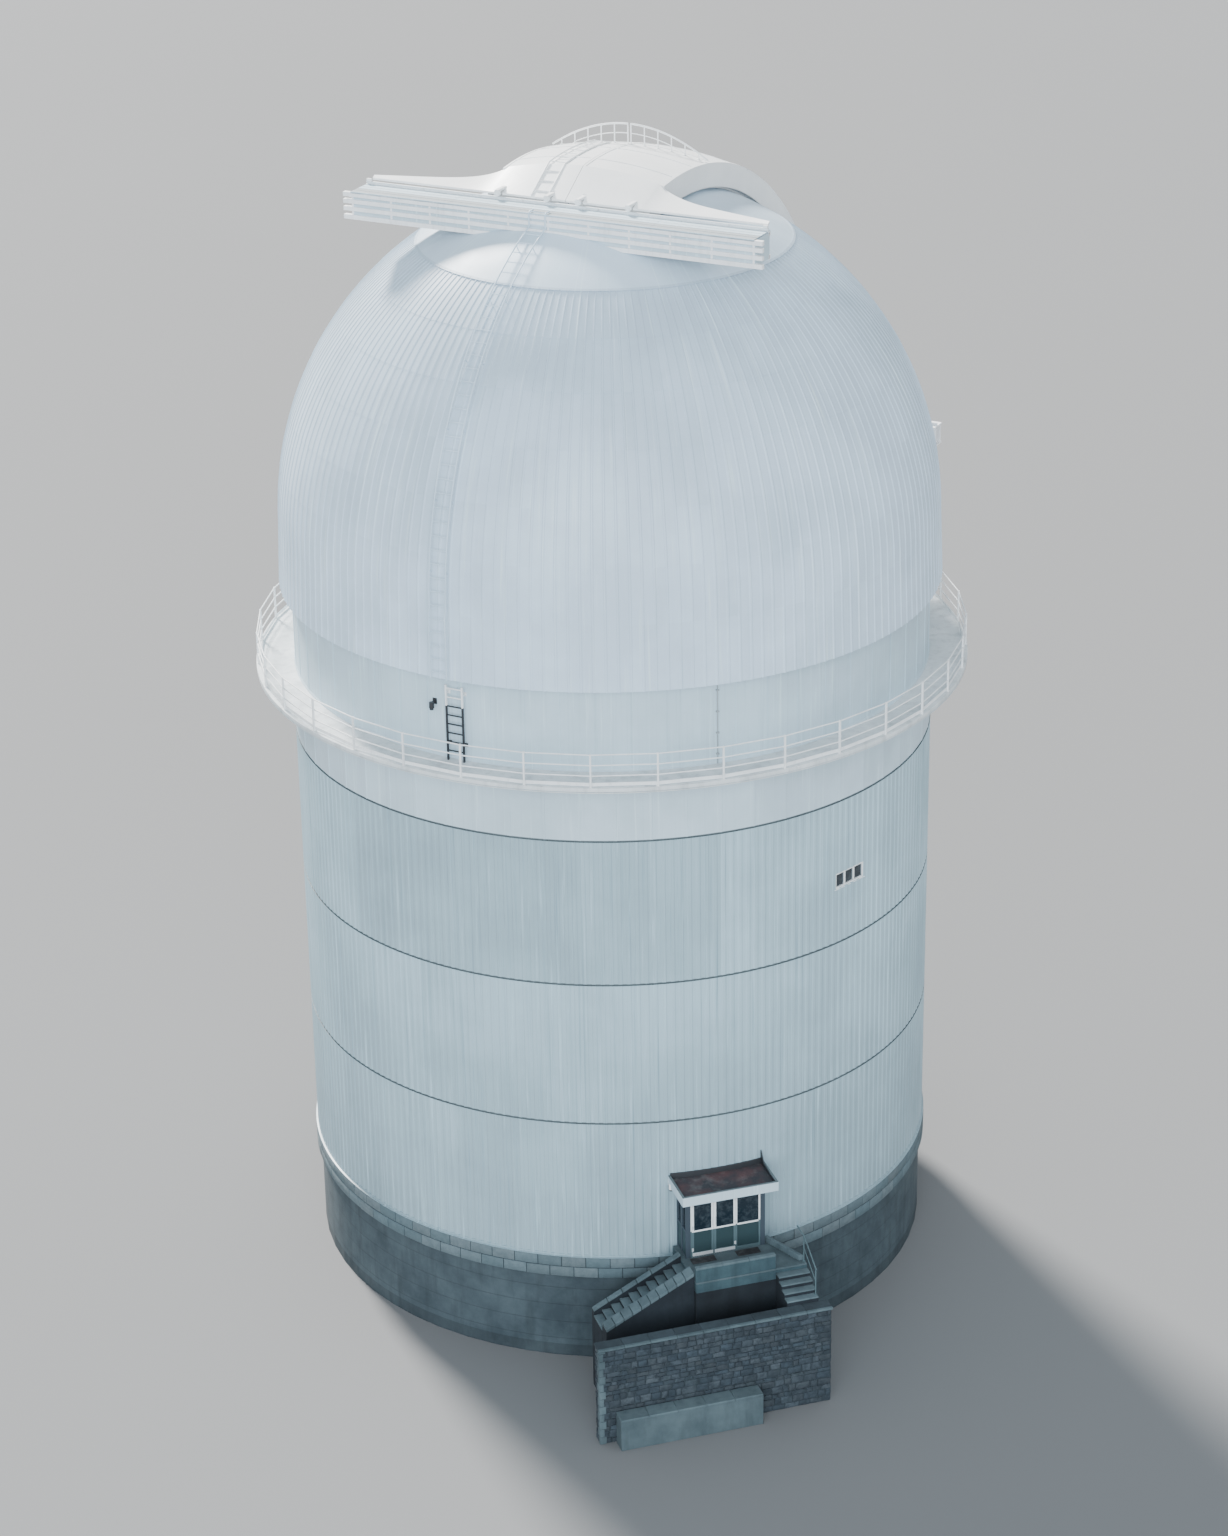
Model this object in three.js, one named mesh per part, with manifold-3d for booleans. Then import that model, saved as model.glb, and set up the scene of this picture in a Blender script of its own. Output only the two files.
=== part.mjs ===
// Observatory dome on a tall round tower, with a walkround gallery, bi-parting shutters and an entrance porch.
// Millimetres, +Z up. The origin is on the tower axis at the lowest ground level.
// Angles round the tower are measured from the front (-Y) towards the right (+X).

import * as THREE from 'three';
import { mergeVertices } from 'three/addons/utils/BufferGeometryUtils.js';
import Module from 'manifold-3d';

const wasm = await Module();
wasm.setup();

// Heights
const FOOT = 3600;                          // foot of the clad wall above the lowest ground
const TIER = 4610;                          // one tier of cladding, joint to joint
const TIER_JOINT = 60;
const DECK_TOP = FOOT + 16000;
const DECK_THICK = 160;
const DOME_EDGE = FOOT + 18560;             // lower edge of the turning dome
const DOME_CENTRE = FOOT + 20530;
const WALL_TOP = DOME_EDGE + 140;
const RAFT = 400;
const PLINTH = 710;
const ENTRANCE_LEVEL = FOOT + 350;
const UPPER_FLOOR_TOP = FOOT + 2 * TIER + 130;
const FLOOR_THICK = 250;

// Radii
const WALL_OUTER = 9720;
const WALL_INNER = 9320;
const CLADDING_OUTER = 9810;
const PLINTH_OUTER = 9870;
const DECK_OUTER = 10900;
const DOME_RADIUS = 10000;
const DOME_SHELL = 150;
const SKIRT_OUTER = 10080;
const SKIRT_INNER = 9860;
const CAP_RADIUS = 5900;                    // ring seam where the smooth crown starts

// Plan
const ENTRANCE_ANGLE = 17;
const SLIT_ANGLE = 27;                      // the slit faces away and this far to the right
const WINDOW_ANGLE = 44.9;
const FACETS = 60;
const GAP = 0.3;
const FAR = 30000;

const COLOURS = {
  concrete: 0x9a9c98, white: 0xe6e9ea, band: 0xd9dee0, dark: 0x2b2f33, stone: 0x8b8882,
  steel: 0xb9bdc0, glass: 0x26343c, roof: 0x3c3a40, teal: 0xa9bdb8, black: 0x15171a,
};
const FINISHES = {
  concrete: [0.9, 0], white: [0.55, 0.1], band: [0.6, 0.1], dark: [0.7, 0.1], stone: [0.95, 0],
  steel: [0.45, 0.7], glass: [0.1, 0], roof: [0.9, 0], teal: [0.85, 0], black: [0.6, 0.3],
};

const radians = (degrees) => degrees * Math.PI / 180;

// Solids

function solid(geometry) {
  const g = (geometry.index ? geometry.toNonIndexed() : geometry).clone();
  g.deleteAttribute('normal');
  g.deleteAttribute('uv');
  const merged = mergeVertices(g, 1e-3);
  return new wasm.Manifold(new wasm.Mesh({
    numProp: 3,
    vertProperties: new Float32Array(merged.attributes.position.array),
    triVerts: new Uint32Array(merged.index.array),
  }));
}

function geometryOf(manifold) {
  const mesh = manifold.getMesh();
  const g = new THREE.BufferGeometry();
  g.setAttribute('position', new THREE.BufferAttribute(new Float32Array(mesh.vertProperties), 3));
  g.setIndex(new THREE.BufferAttribute(new Uint32Array(mesh.triVerts), 1));
  return g;
}

const union = (solids) => solids.reduce((a, b) => a.add(b));

function box(x0, x1, y0, y1, z0, z1) {
  const g = new THREE.BoxGeometry(x1 - x0, y1 - y0, z1 - z0);
  g.translate((x0 + x1) / 2, (y0 + y1) / 2, (z0 + z1) / 2);
  return solid(g);
}

function prism(outline, z0, z1, hole = null) {
  const shape = new THREE.Shape(outline.map(([x, y]) => new THREE.Vector2(x, y)));
  if (hole) {
    shape.holes.push(new THREE.Path(hole.map(([x, y]) => new THREE.Vector2(x, y))));
  }
  const g = new THREE.ExtrudeGeometry(shape, { depth: z1 - z0, bevelEnabled: false });
  g.translate(0, 0, z0);
  return solid(g);
}

// An outline in the Y-Z plane, drawn out along X.
function profileAlongX(outline, x0, x1) {
  const shape = new THREE.Shape(outline.map(([y, z]) => new THREE.Vector2(y, z)));
  const g = new THREE.ExtrudeGeometry(shape, { depth: x1 - x0, bevelEnabled: false });
  g.applyMatrix4(new THREE.Matrix4().set(0, 0, 1, x0, 1, 0, 0, 0, 0, 1, 0, 0, 0, 0, 0, 1));
  return solid(g);
}

// An outline in the X-Z plane, drawn out along Y.
function profileAlongY(outline, y0, y1) {
  const shape = new THREE.Shape(outline.map(([x, z]) => new THREE.Vector2(x, z)));
  const g = new THREE.ExtrudeGeometry(shape, { depth: y1 - y0, bevelEnabled: false });
  g.applyMatrix4(new THREE.Matrix4().set(1, 0, 0, 0, 0, 0, -1, y1, 0, 1, 0, 0, 0, 0, 0, 1));
  return solid(g);
}

// Joins sections of as many [x, y, z] corners each, which run anticlockwise about +X, into a solid.
function loft(sections) {
  const n = sections[0].length;
  const end = (sections.length - 1) * n;
  const index = [];
  for (let a = 0; a < end; a += 1) {
    const b = (a + 1) % n === 0 ? a + 1 - n : a + 1;
    index.push(a, b, b + n, a, b + n, a + n);
  }
  for (let j = 1; j + 1 < n; j += 1) {
    index.push(0, j + 1, j, end, end + j, end + j + 1);
  }
  const g = new THREE.BufferGeometry();
  g.setAttribute('position', new THREE.BufferAttribute(new Float32Array(sections.flat(2)), 3));
  g.setIndex(index);
  return solid(g);
}

function circle(radius, sides, start) {
  return Array.from({ length: sides }, (_, i) => {
    const a = radians(start + i * 360 / sides);
    return [radius * Math.sin(a), -radius * Math.cos(a)];
  });
}

const disc = (radius, z0, z1) => prism(circle(radius, FACETS, 0), z0, z1);

function ring(inner, outer, z0, z1, sides = FACETS, start = 0) {
  return prism(circle(outer, sides, start), z0, z1, circle(inner, sides, start));
}

// The wedge of plan between two angles, less half a joint on each side.
function wedge(from, to) {
  const a = radians(from);
  const b = radians(to);
  const middle = (a + b) / 2;
  const shift = (GAP / 2) / Math.sin((b - a) / 2);
  const tip = [shift * Math.sin(middle), -shift * Math.cos(middle)];
  const end = (angle) => [tip[0] + FAR * Math.sin(angle), tip[1] - FAR * Math.cos(angle)];
  return prism([tip, end(a), end(middle), end(b)], -FAR, 2 * FAR);
}

// A body of revolution about Z from [radius, height] points that start at the top of the axis and end on it.
function turned(points, segments = FACETS) {
  const upward = points.map(([r, z]) => new THREE.Vector2(r, z)).reverse();
  const g = new THREE.LatheGeometry(upward, segments);
  g.rotateX(Math.PI / 2);
  return solid(g);
}

// A round bar along X, Y or Z.
function bar(radius, length, axis, x, y, z, sides = 12) {
  const g = new THREE.CylinderGeometry(radius, radius, length, sides);
  if (axis === 'x') g.rotateZ(Math.PI / 2);
  if (axis === 'z') g.rotateX(Math.PI / 2);
  g.translate(x, y, z);
  return solid(g);
}

// Scene graph

const observatory = new THREE.Group();
const entrance = new THREE.Group();
entrance.rotation.z = radians(ENTRANCE_ANGLE);
const dome = new THREE.Group();
dome.position.z = DOME_CENTRE;
dome.rotation.z = -radians(SLIT_ANGLE);
observatory.add(entrance, dome);

function place(group, name, manifold, finish) {
  const [roughness, metalness] = FINISHES[finish];
  const material = new THREE.MeshStandardMaterial({ color: COLOURS[finish], roughness, metalness });
  const mesh = new THREE.Mesh(geometryOf(manifold), material);
  mesh.name = name;
  group.add(mesh);
  return mesh;
}

const turnZ = (manifold, degrees) => manifold.rotate([0, 0, degrees]);

// Entrance sizes, in a frame with X to the right along the wall and -Y straight out
const DOORWAY_HALF = 1100;
const DOOR_HEAD = ENTRANCE_LEVEL + 2040;
const PORCH_HALF = 1250;
const PORCH_FRONT = 10600;
const ROOF_HALF = 1500;
const ROOF_FRONT = 11100;
const FASCIA_FOOT = DOOR_HEAD + 60;
const ROOF_TOP = FOOT + 2750;
const FASCIA_THICK = 60;
const ROOF_SUNK = 60;                       // the roof lies this far below the fascia's edge
const PORCH_ROOT = 8000;                    // inside the tower wall, which then trims the solid
const LANDING_FRONT = 12000;
const LANDING_SIDE = 1400;                  // half its width beside the porch
const FLIGHT_LEFT = 1100;                   // sides of the right flight, which leaves the landing's front
const FLIGHT_RIGHT = 2080;
const SPLAY_BACK = 10400;                   // the landing's right edge splays out from here
const SPLAY_FRONT = 11900;
const PARAPET_HEIGHT = 500;
const PARAPET_THICK = 150;
const KERB_WIDTH = 140;
const KERB_HEIGHT = 180;

// Tower

function doorwayCut(z0, z1) {
  return turnZ(box(-DOORWAY_HALF, DOORWAY_HALF, -FAR, -WALL_INNER / 2, z0, z1), ENTRANCE_ANGLE);
}

const WINDOW_WIDTH = 1240;
const WINDOW_HEIGHT = 500;
const WINDOW_SILL = FOOT + 11000;

function windowCut(grow = 0) {
  const half = WINDOW_WIDTH / 2 + grow;
  return turnZ(box(-half, half, -FAR, -WALL_INNER / 2, WINDOW_SILL - grow, WINDOW_SILL + WINDOW_HEIGHT + grow),
    WINDOW_ANGLE);
}

function buildTower() {
  place(observatory, 'foundation_raft', disc(WALL_OUTER, 0, RAFT), 'concrete');

  const shaft = ring(WALL_INNER, WALL_OUTER, RAFT, WALL_TOP);
  const staves = shaft.subtract(doorwayCut(0, FAR)).subtract(windowCut());
  for (let i = 0; i < 4; i += 1) {
    const from = ENTRANCE_ANGLE + i * 90;
    place(observatory, `wall_segment_${i + 1}`, staves.intersect(wedge(from, from + 90)), 'concrete');
  }
  const between = box(-DOORWAY_HALF + GAP, DOORWAY_HALF - GAP, -FAR, -WALL_INNER / 2, 0, FAR);
  const strip = shaft.intersect(turnZ(between, ENTRANCE_ANGLE));
  const over = strip.intersect(box(-FAR, FAR, -FAR, FAR, DOOR_HEAD, FAR));
  const below = strip.intersect(box(-FAR, FAR, -FAR, FAR, 0, ENTRANCE_LEVEL - FLOOR_THICK));
  place(observatory, 'wall_over_entrance', over, 'concrete');
  place(observatory, 'wall_below_entrance', below, 'concrete');

  place(observatory, 'plinth_band', ring(WALL_OUTER + GAP, PLINTH_OUTER, FOOT - PLINTH, FOOT), 'stone');

  const cladding = (z0, z1) => ring(WALL_OUTER + GAP, CLADDING_OUTER, z0, z1);
  const tierFoot = (i) => FOOT + i * TIER + (i ? TIER_JOINT / 2 : 0);
  const tierHead = (i) => FOOT + (i + 1) * TIER - TIER_JOINT / 2;
  const lower = cladding(tierFoot(0), tierHead(0)).subtract(doorwayCut(0, DOOR_HEAD));
  place(observatory, 'lower_cladding', lower, 'white');
  place(observatory, 'middle_cladding', cladding(tierFoot(1), tierHead(1)), 'white');
  place(observatory, 'upper_cladding', cladding(tierFoot(2), tierHead(2)).subtract(windowCut()), 'white');
  place(observatory, 'gallery_band', cladding(tierFoot(3), DECK_TOP - DECK_THICK), 'band');

  const floor = (top) => disc(WALL_INNER - GAP, top - FLOOR_THICK, top);
  const threshold = box(-DOORWAY_HALF + GAP, DOORWAY_HALF - GAP, -CLADDING_OUTER, -WALL_INNER / 2,
    ENTRANCE_LEVEL - FLOOR_THICK, ENTRANCE_LEVEL);
  const clipped = turnZ(threshold, ENTRANCE_ANGLE).intersect(disc(CLADDING_OUTER, 0, FAR));
  place(observatory, 'ground_floor', floor(ENTRANCE_LEVEL).add(clipped), 'concrete');
  place(observatory, 'upper_floor', floor(UPPER_FLOOR_TOP), 'concrete');
  place(observatory, 'observing_floor', floor(DECK_TOP), 'concrete');
}

function buildWindow() {
  const depth = FRAME_DEPTH;
  const face = CLADDING_OUTER - 30;
  const half = WINDOW_WIDTH / 2 - GAP;
  const foot = WINDOW_SILL + GAP;
  const head = WINDOW_SILL + WINDOW_HEIGHT - GAP;
  const edge = 45;
  const panes = 3;
  const pane = (2 * half - (panes + 1) * edge) / panes;
  let frame = box(-half, half, -face, -face + depth, foot, head);
  for (let i = 0; i < panes; i += 1) {
    const left = -half + edge + i * (pane + edge);
    frame = frame.subtract(box(left, left + pane, -FAR, 0, foot + edge, head - edge));
  }
  place(observatory, 'window_frame', turnZ(frame, WINDOW_ANGLE), 'steel');
  const glass = box(-half, half, -face + depth + GAP, -face + depth + GAP + PANE_THICK, foot, head);
  place(observatory, 'window_glass', turnZ(glass, WINDOW_ANGLE), 'glass');
}

// Gallery

const RAIL_RADIUS = 10840;
const RAIL_SIZE = 50;
const RAIL_HEIGHTS = [380, 700, 1020];
const POSTS = 36;
const POST_OFFSET = 6.5;

function buildGallery() {
  const deck = ring(WALL_OUTER + GAP, DECK_OUTER, DECK_TOP - DECK_THICK, DECK_TOP);
  place(observatory, 'gallery_deck', deck, 'band');

  const rails = RAIL_HEIGHTS.map((h) => ring(RAIL_RADIUS - RAIL_SIZE / 2, RAIL_RADIUS + RAIL_SIZE / 2,
    DECK_TOP + h - RAIL_SIZE, DECK_TOP + h, POSTS, POST_OFFSET));
  const half = RAIL_SIZE / 2 + 6;
  const post = box(-half, half, -RAIL_RADIUS - half, -RAIL_RADIUS + half, DECK_TOP,
    DECK_TOP + RAIL_HEIGHTS.at(-1) + 8);
  const posts = Array.from({ length: POSTS }, (_, i) => turnZ(post, POST_OFFSET + i * 360 / POSTS));
  const railing = union([...rails, ...posts]);
  const rightHalf = turnZ(box(GAP / 2, FAR, -FAR, FAR, 0, FAR), POST_OFFSET - 180 / POSTS);
  place(observatory, 'gallery_railing_right', railing.intersect(rightHalf), 'steel');
  place(observatory, 'gallery_railing_left', railing.intersect(turnZ(rightHalf, 180)), 'steel');
}

// Two side bars with rungs between them, standing at the front (-Y), one width in X.
function straightLadder(width, y, z0, z1, pitch, size, rungSize) {
  const half = width / 2;
  const parts = [-half, half].map((x) => box(x - size / 2, x + size / 2, y - size / 2, y + size / 2, z0, z1));
  for (let z = z0 + pitch; z < z1 - pitch / 2; z += pitch) {
    parts.push(box(-half, half, y - rungSize / 2, y + rungSize / 2, z - rungSize / 2, z + rungSize / 2));
  }
  return union(parts);
}

const LADDER_WIDTH = 520;
const RUNG_PITCH = 300;
const LADDER_STAND = 170;
const LADDER_BELOW_DOME = 240;

function buildGalleryLadder() {
  const size = 60;
  const y = -WALL_OUTER - LADDER_STAND;
  const top = DOME_EDGE - LADDER_BELOW_DOME;
  const brackets = [DECK_TOP + 450, top - 300].flatMap((z) => [-1, 1].map((side) => {
    const x = side * LADDER_WIDTH / 2;
    return box(x - 20, x + 20, y, -WALL_OUTER + 60, z, z + 60);
  }));
  const ladder = straightLadder(LADDER_WIDTH, y, DECK_TOP, top, RUNG_PITCH, size, 34);
  const whole = turnZ(union([ladder, ...brackets]), -SLIT_ANGLE).subtract(disc(WALL_OUTER + GAP, 0, FAR));
  place(observatory, 'gallery_ladder', whole, 'black');
}

// Azimuth rail, on the head of the wall

const RAIL_OUTER = 9580;
const RAIL_INNER = 9460;
const RAIL_THICK = 120;

function buildAzimuthRail() {
  place(observatory, 'azimuth_rail', ring(RAIL_INNER, RAIL_OUTER, WALL_TOP, WALL_TOP + RAIL_THICK), 'steel');
}

// Entrance porch, doors, landing and stairs

const towerIn = (radius) => turnZ(disc(radius, -FAR, FAR), -ENTRANCE_ANGLE);

function buildPorch() {
  const clear = towerIn(CLADDING_OUTER + GAP);
  const clearPlinth = towerIn(PLINTH_OUTER + GAP);
  for (const [side, name] of [[-1, 'porch_left_wall'], [1, 'porch_right_wall']]) {
    const x0 = Math.min(side * DOORWAY_HALF, side * PORCH_HALF);
    const x1 = x0 + PORCH_HALF - DOORWAY_HALF;
    const wall = box(x0, x1, -PORCH_FRONT, -PORCH_ROOT, ENTRANCE_LEVEL, FASCIA_FOOT);
    place(entrance, name, wall.subtract(clear), 'white');
  }
  const inner = ROOF_HALF - FASCIA_THICK;
  const roof = box(-inner + GAP, inner - GAP, -ROOF_FRONT + FASCIA_THICK + GAP, -PORCH_ROOT, FASCIA_FOOT + GAP,
    ROOF_TOP - ROOF_SUNK);
  place(entrance, 'porch_roof', roof.subtract(clear), 'roof');
  const fascia = box(-ROOF_HALF, ROOF_HALF, -ROOF_FRONT, -PORCH_ROOT, FASCIA_FOOT, ROOF_TOP)
    .subtract(box(-inner, inner, -ROOF_FRONT + FASCIA_THICK, 0, 0, FAR)).subtract(clear);
  place(entrance, 'porch_fascia', fascia, 'white');

  // The landing widens from the porch to the two flights, with a low kerb along its splayed right edge.
  const outline = [[-LANDING_SIDE, -PORCH_ROOT], [LANDING_SIDE, -PORCH_ROOT], [LANDING_SIDE, -SPLAY_BACK],
    [FLIGHT_RIGHT, -SPLAY_FRONT], [FLIGHT_RIGHT, -LANDING_FRONT], [-LANDING_SIDE, -LANDING_FRONT]];
  const slab = prism(outline, 0, ENTRANCE_LEVEL - GAP);
  const kerbEnd = 0.93;                     // share of the splayed edge, short of the handrail's post
  const kerbX = LANDING_SIDE + kerbEnd * (FLIGHT_RIGHT - LANDING_SIDE);
  const kerbY = -SPLAY_BACK - kerbEnd * (SPLAY_FRONT - SPLAY_BACK);
  const kerbOutline = [[LANDING_SIDE - KERB_WIDTH, -SPLAY_BACK], [kerbX - KERB_WIDTH, kerbY], [kerbX, kerbY],
    [LANDING_SIDE, -SPLAY_BACK]];
  const kerb = prism(kerbOutline, ENTRANCE_LEVEL - KERB_HEIGHT, ENTRANCE_LEVEL + KERB_HEIGHT);
  place(entrance, 'landing', slab.add(kerb).subtract(clearPlinth).subtract(clear), 'teal');
}

const JAMB = 50;
const MULLION = 60;
const LEAF_GAP = 10;
const LEAF_THICK = 50;
const LEAF_FRONT = PORCH_FRONT - 10;
const SIDELIGHT = 680;
const MULLION_LEFT = DOORWAY_HALF - JAMB - SIDELIGHT - MULLION;
const LEAF_WIDTH = (MULLION_LEFT + DOORWAY_HALF - JAMB - 3 * LEAF_GAP) / 2;
const LEAF_FOOT = ENTRANCE_LEVEL + 12;
const LEAF_HEAD = DOOR_HEAD - LEAF_GAP;
const LIGHT_SILL = 900;
const KNUCKLE = 14;                         // radius of a hinge knuckle
const HINGE_SIDE = 12;                      // from the leaf's edge to the hinge axis
const HINGE_HEIGHTS = [250, 1010, 1770];
const KNUCKLE_LENGTH = 120;
const HINGE_PLATE = 40;                     // reach of a hinge's plate over the leaf
const FRAME_DEPTH = 90;
const PANE_THICK = 12;

// A door leaf whose upper light is a thinner sheet between its stiles, with hinge knuckles on one edge.
function doorLeaf(x0, side) {
  const stile = 90;
  const recess = 15;
  const front = -LEAF_FRONT;
  const back = front + LEAF_THICK;
  const light = (y0, y1) => box(x0 + stile, x0 + LEAF_WIDTH - stile, y0, y1, LEAF_FOOT + LIGHT_SILL,
    LEAF_HEAD - stile);
  const panel = box(x0, x0 + LEAF_WIDTH, front, back, LEAF_FOOT, LEAF_HEAD)
    .subtract(light(front - 1, front + recess)).subtract(light(back - recess, back + 1));
  const edge = side < 0 ? x0 : x0 + LEAF_WIDTH;
  const y = -PORCH_FRONT - KNUCKLE - 2 * GAP;
  const plateHalf = KNUCKLE_LENGTH / 2 - 5;
  const hinges = HINGE_HEIGHTS.flatMap((h) => {
    const z = LEAF_FOOT + h;
    const ends = [edge + side * (HINGE_SIDE - 4), edge - side * HINGE_PLATE];
    return [
      bar(KNUCKLE, KNUCKLE_LENGTH, 'z', edge + side * HINGE_SIDE, y, z),
      box(Math.min(...ends), Math.max(...ends), y + KNUCKLE / 2, front + 1, z - plateHalf, z + plateHalf),
    ];
  });
  return union([panel, ...hinges]);
}

function buildDoors() {
  const front = -PORCH_FRONT;
  const back = front + FRAME_DEPTH;
  const half = DOORWAY_HALF - GAP;
  const foot = ENTRANCE_LEVEL;
  const frame = union([
    box(-half, -half + JAMB, front, back, foot, FASCIA_FOOT),
    box(half - JAMB, half, front, back, foot, FASCIA_FOOT),
    box(MULLION_LEFT, MULLION_LEFT + MULLION, front, back, foot, FASCIA_FOOT),
    box(-half, half, front, back, DOOR_HEAD, FASCIA_FOOT),
    box(MULLION_LEFT, half, front, back, foot, foot + LIGHT_SILL),
  ]);
  place(entrance, 'entrance_frame', frame, 'white');
  const paneFront = front + FRAME_DEPTH / 3;
  const side = box(MULLION_LEFT + MULLION + GAP, half - JAMB - GAP, paneFront, paneFront + PANE_THICK,
    foot + LIGHT_SILL + GAP, DOOR_HEAD - GAP);
  place(entrance, 'entrance_sidelight', side, 'glass');

  const leftX = -DOORWAY_HALF + JAMB + LEAF_GAP;
  const rightX = leftX + LEAF_WIDTH + LEAF_GAP;
  place(entrance, 'left_door_leaf', doorLeaf(leftX, -1), 'white');
  place(entrance, 'right_door_leaf', doorLeaf(rightX, 1), 'white');
}

const RISE = 140;
const LEFT_RISERS = 11;
const LEFT_RUN = 275;
const LEFT_INNER = 10560;
const LEFT_OUTER = 11400;
const STAIR_PARAPET_THICK = 450;
const STAIR_PARAPET_ABOVE = 260;            // above the landing and above the line of the treads
const STAIR_KERB_THICK = 200;
const STAIR_KERB_ABOVE = 160;
const RIGHT_RISERS = 5;
const RIGHT_RUN = 250;
const STONE_WALL_BACK = 13000;
const STONE_WALL_FRONT = 13500;
const STONE_WALL_LEFT = -4900;
const STONE_WALL_RIGHT = 2350;
const LEDGE_FRONT = 14000;
const LEDGE_TOP = 1060;
const LEDGE_INSET = 500;
const HANDRAIL_X = 2030;
const HANDRAIL_HEIGHT = 900;
const HANDRAIL_SIZE = 40;

function stepOutline(start, direction, top, risers, rise, run) {
  const points = [[start, 0]];
  for (let i = 1; i < risers; i += 1) {
    const z = top - i * rise;
    points.push([start + direction * (i - 1) * run, z], [start + direction * i * run, z]);
  }
  points.push([start + direction * (risers - 1) * run, 0]);
  return direction > 0 ? points.reverse() : points;
}

// A wall beside the left flight that falls with the treads, from the landing to the lowest step.
function besideLeftFlight(above, y0, y1) {
  const start = -LANDING_SIDE - GAP;
  const length = (LEFT_RISERS - 1) * LEFT_RUN;
  const top = ENTRANCE_LEVEL + above;
  const end = start - length;
  const outline = [[start, 0], [start, top], [end, top - (LEFT_RISERS - 1) * RISE], [end, 0]];
  return profileAlongY(outline, y0, y1);
}

function buildStairs() {
  const stepped = stepOutline(-LANDING_SIDE - GAP, -1, ENTRANCE_LEVEL, LEFT_RISERS, RISE, LEFT_RUN);
  place(entrance, 'left_stair', profileAlongY(stepped, -LEFT_OUTER, -LEFT_INNER), 'teal');
  place(entrance, 'left_stair_parapet', besideLeftFlight(STAIR_PARAPET_ABOVE,
    -LEFT_OUTER - STAIR_PARAPET_THICK, -LEFT_OUTER - GAP), 'teal');
  place(entrance, 'left_stair_kerb', besideLeftFlight(STAIR_KERB_ABOVE, -LEFT_INNER + GAP,
    -LEFT_INNER + STAIR_KERB_THICK), 'teal');
  place(entrance, 'landing_parapet', box(-LANDING_SIDE, FLIGHT_LEFT, -LANDING_FRONT,
    -LANDING_FRONT + PARAPET_THICK, ENTRANCE_LEVEL, ENTRANCE_LEVEL + PARAPET_HEIGHT), 'teal');

  const front = stepOutline(-LANDING_FRONT - GAP, -1, ENTRANCE_LEVEL, RIGHT_RISERS, RISE, RIGHT_RUN);
  place(entrance, 'right_stair', profileAlongX(front, FLIGHT_LEFT, FLIGHT_RIGHT), 'teal');

  const foot = STONE_WALL_BACK + 2 * GAP;
  const wallTop = ENTRANCE_LEVEL - RIGHT_RISERS * RISE;
  const wall = box(STONE_WALL_LEFT, STONE_WALL_RIGHT, -STONE_WALL_FRONT, -foot, 0, wallTop);
  const ledge = box(STONE_WALL_LEFT + LEDGE_INSET, 0, -LEDGE_FRONT, -foot - 50, 0, LEDGE_TOP);
  place(entrance, 'stone_base', wall.add(ledge), 'stone');
}

// The handrail down the outer side of the right flight, level over the landing's edge.
function buildHandrail() {
  const half = HANDRAIL_SIZE / 2;
  const level = 600;
  const over = 60;
  const yTop = -LANDING_FRONT + 150;
  const yFoot = -STONE_WALL_BACK + 125;
  const lowest = ENTRANCE_LEVEL - (RIGHT_RISERS - 1) * RISE;
  const zTop = ENTRANCE_LEVEL + HANDRAIL_HEIGHT;
  const zFoot = lowest + HANDRAIL_HEIGHT;
  const side = [[yTop + level, zTop], [yTop, zTop], [yFoot - over, zFoot]];
  const under = side.map(([y, z]) => [y, z - HANDRAIL_SIZE]);
  const topRail = profileAlongX([...under, ...side.reverse()], HANDRAIL_X - half, HANDRAIL_X + half);
  const post = (y, z0, z1) => box(HANDRAIL_X - half, HANDRAIL_X + half, y - half, y + half, z0, z1);
  place(entrance, 'stair_handrail', union([topRail, post(yTop, ENTRANCE_LEVEL, zTop - 1),
    post(yFoot, lowest, zFoot - 1)]), 'steel');
}

// Turning dome, in its own frame: +Y is the slit, X runs along the shutter rails, Z is up from the centre

const SLIT_HALF = 2300;
const SLIT_REAR = -2050;
const SLIT_FOOT = 300;
const SKIRT_FOOT = DOME_EDGE - DOME_CENTRE;
const ARC_STEPS = 15;
const WHEELS = 12;
const WHEEL_RADIUS = 180;
const WHEEL_WIDTH = 90;
const GIRDER_INNER = 9380;
const GIRDER_HEIGHT = 320;

// A quarter circle as [radius, height] points, from the top of the axis down to the equator.
function quarterArc(radius) {
  return Array.from({ length: ARC_STEPS + 1 }, (_, i) => {
    const a = radians(90 * i / ARC_STEPS);
    return [i === 0 ? 0 : radius * Math.sin(a), radius * Math.cos(a)];
  });
}

// The dome and its skirt as a shell, or filled and a little larger, to trim what stands on it.
function domeShell() {
  return turned([...quarterArc(DOME_RADIUS), [SKIRT_OUTER, 0], [SKIRT_OUTER, SKIRT_FOOT],
    [SKIRT_INNER, SKIRT_FOOT], [SKIRT_INNER, 0], ...quarterArc(DOME_RADIUS - DOME_SHELL).reverse()]);
}

function domeSolid(grow) {
  const skirt = SKIRT_OUTER + grow;
  return turned([...quarterArc(DOME_RADIUS + grow), [skirt, 0], [skirt, SKIRT_FOOT], [0, SKIRT_FOOT]]);
}

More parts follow.
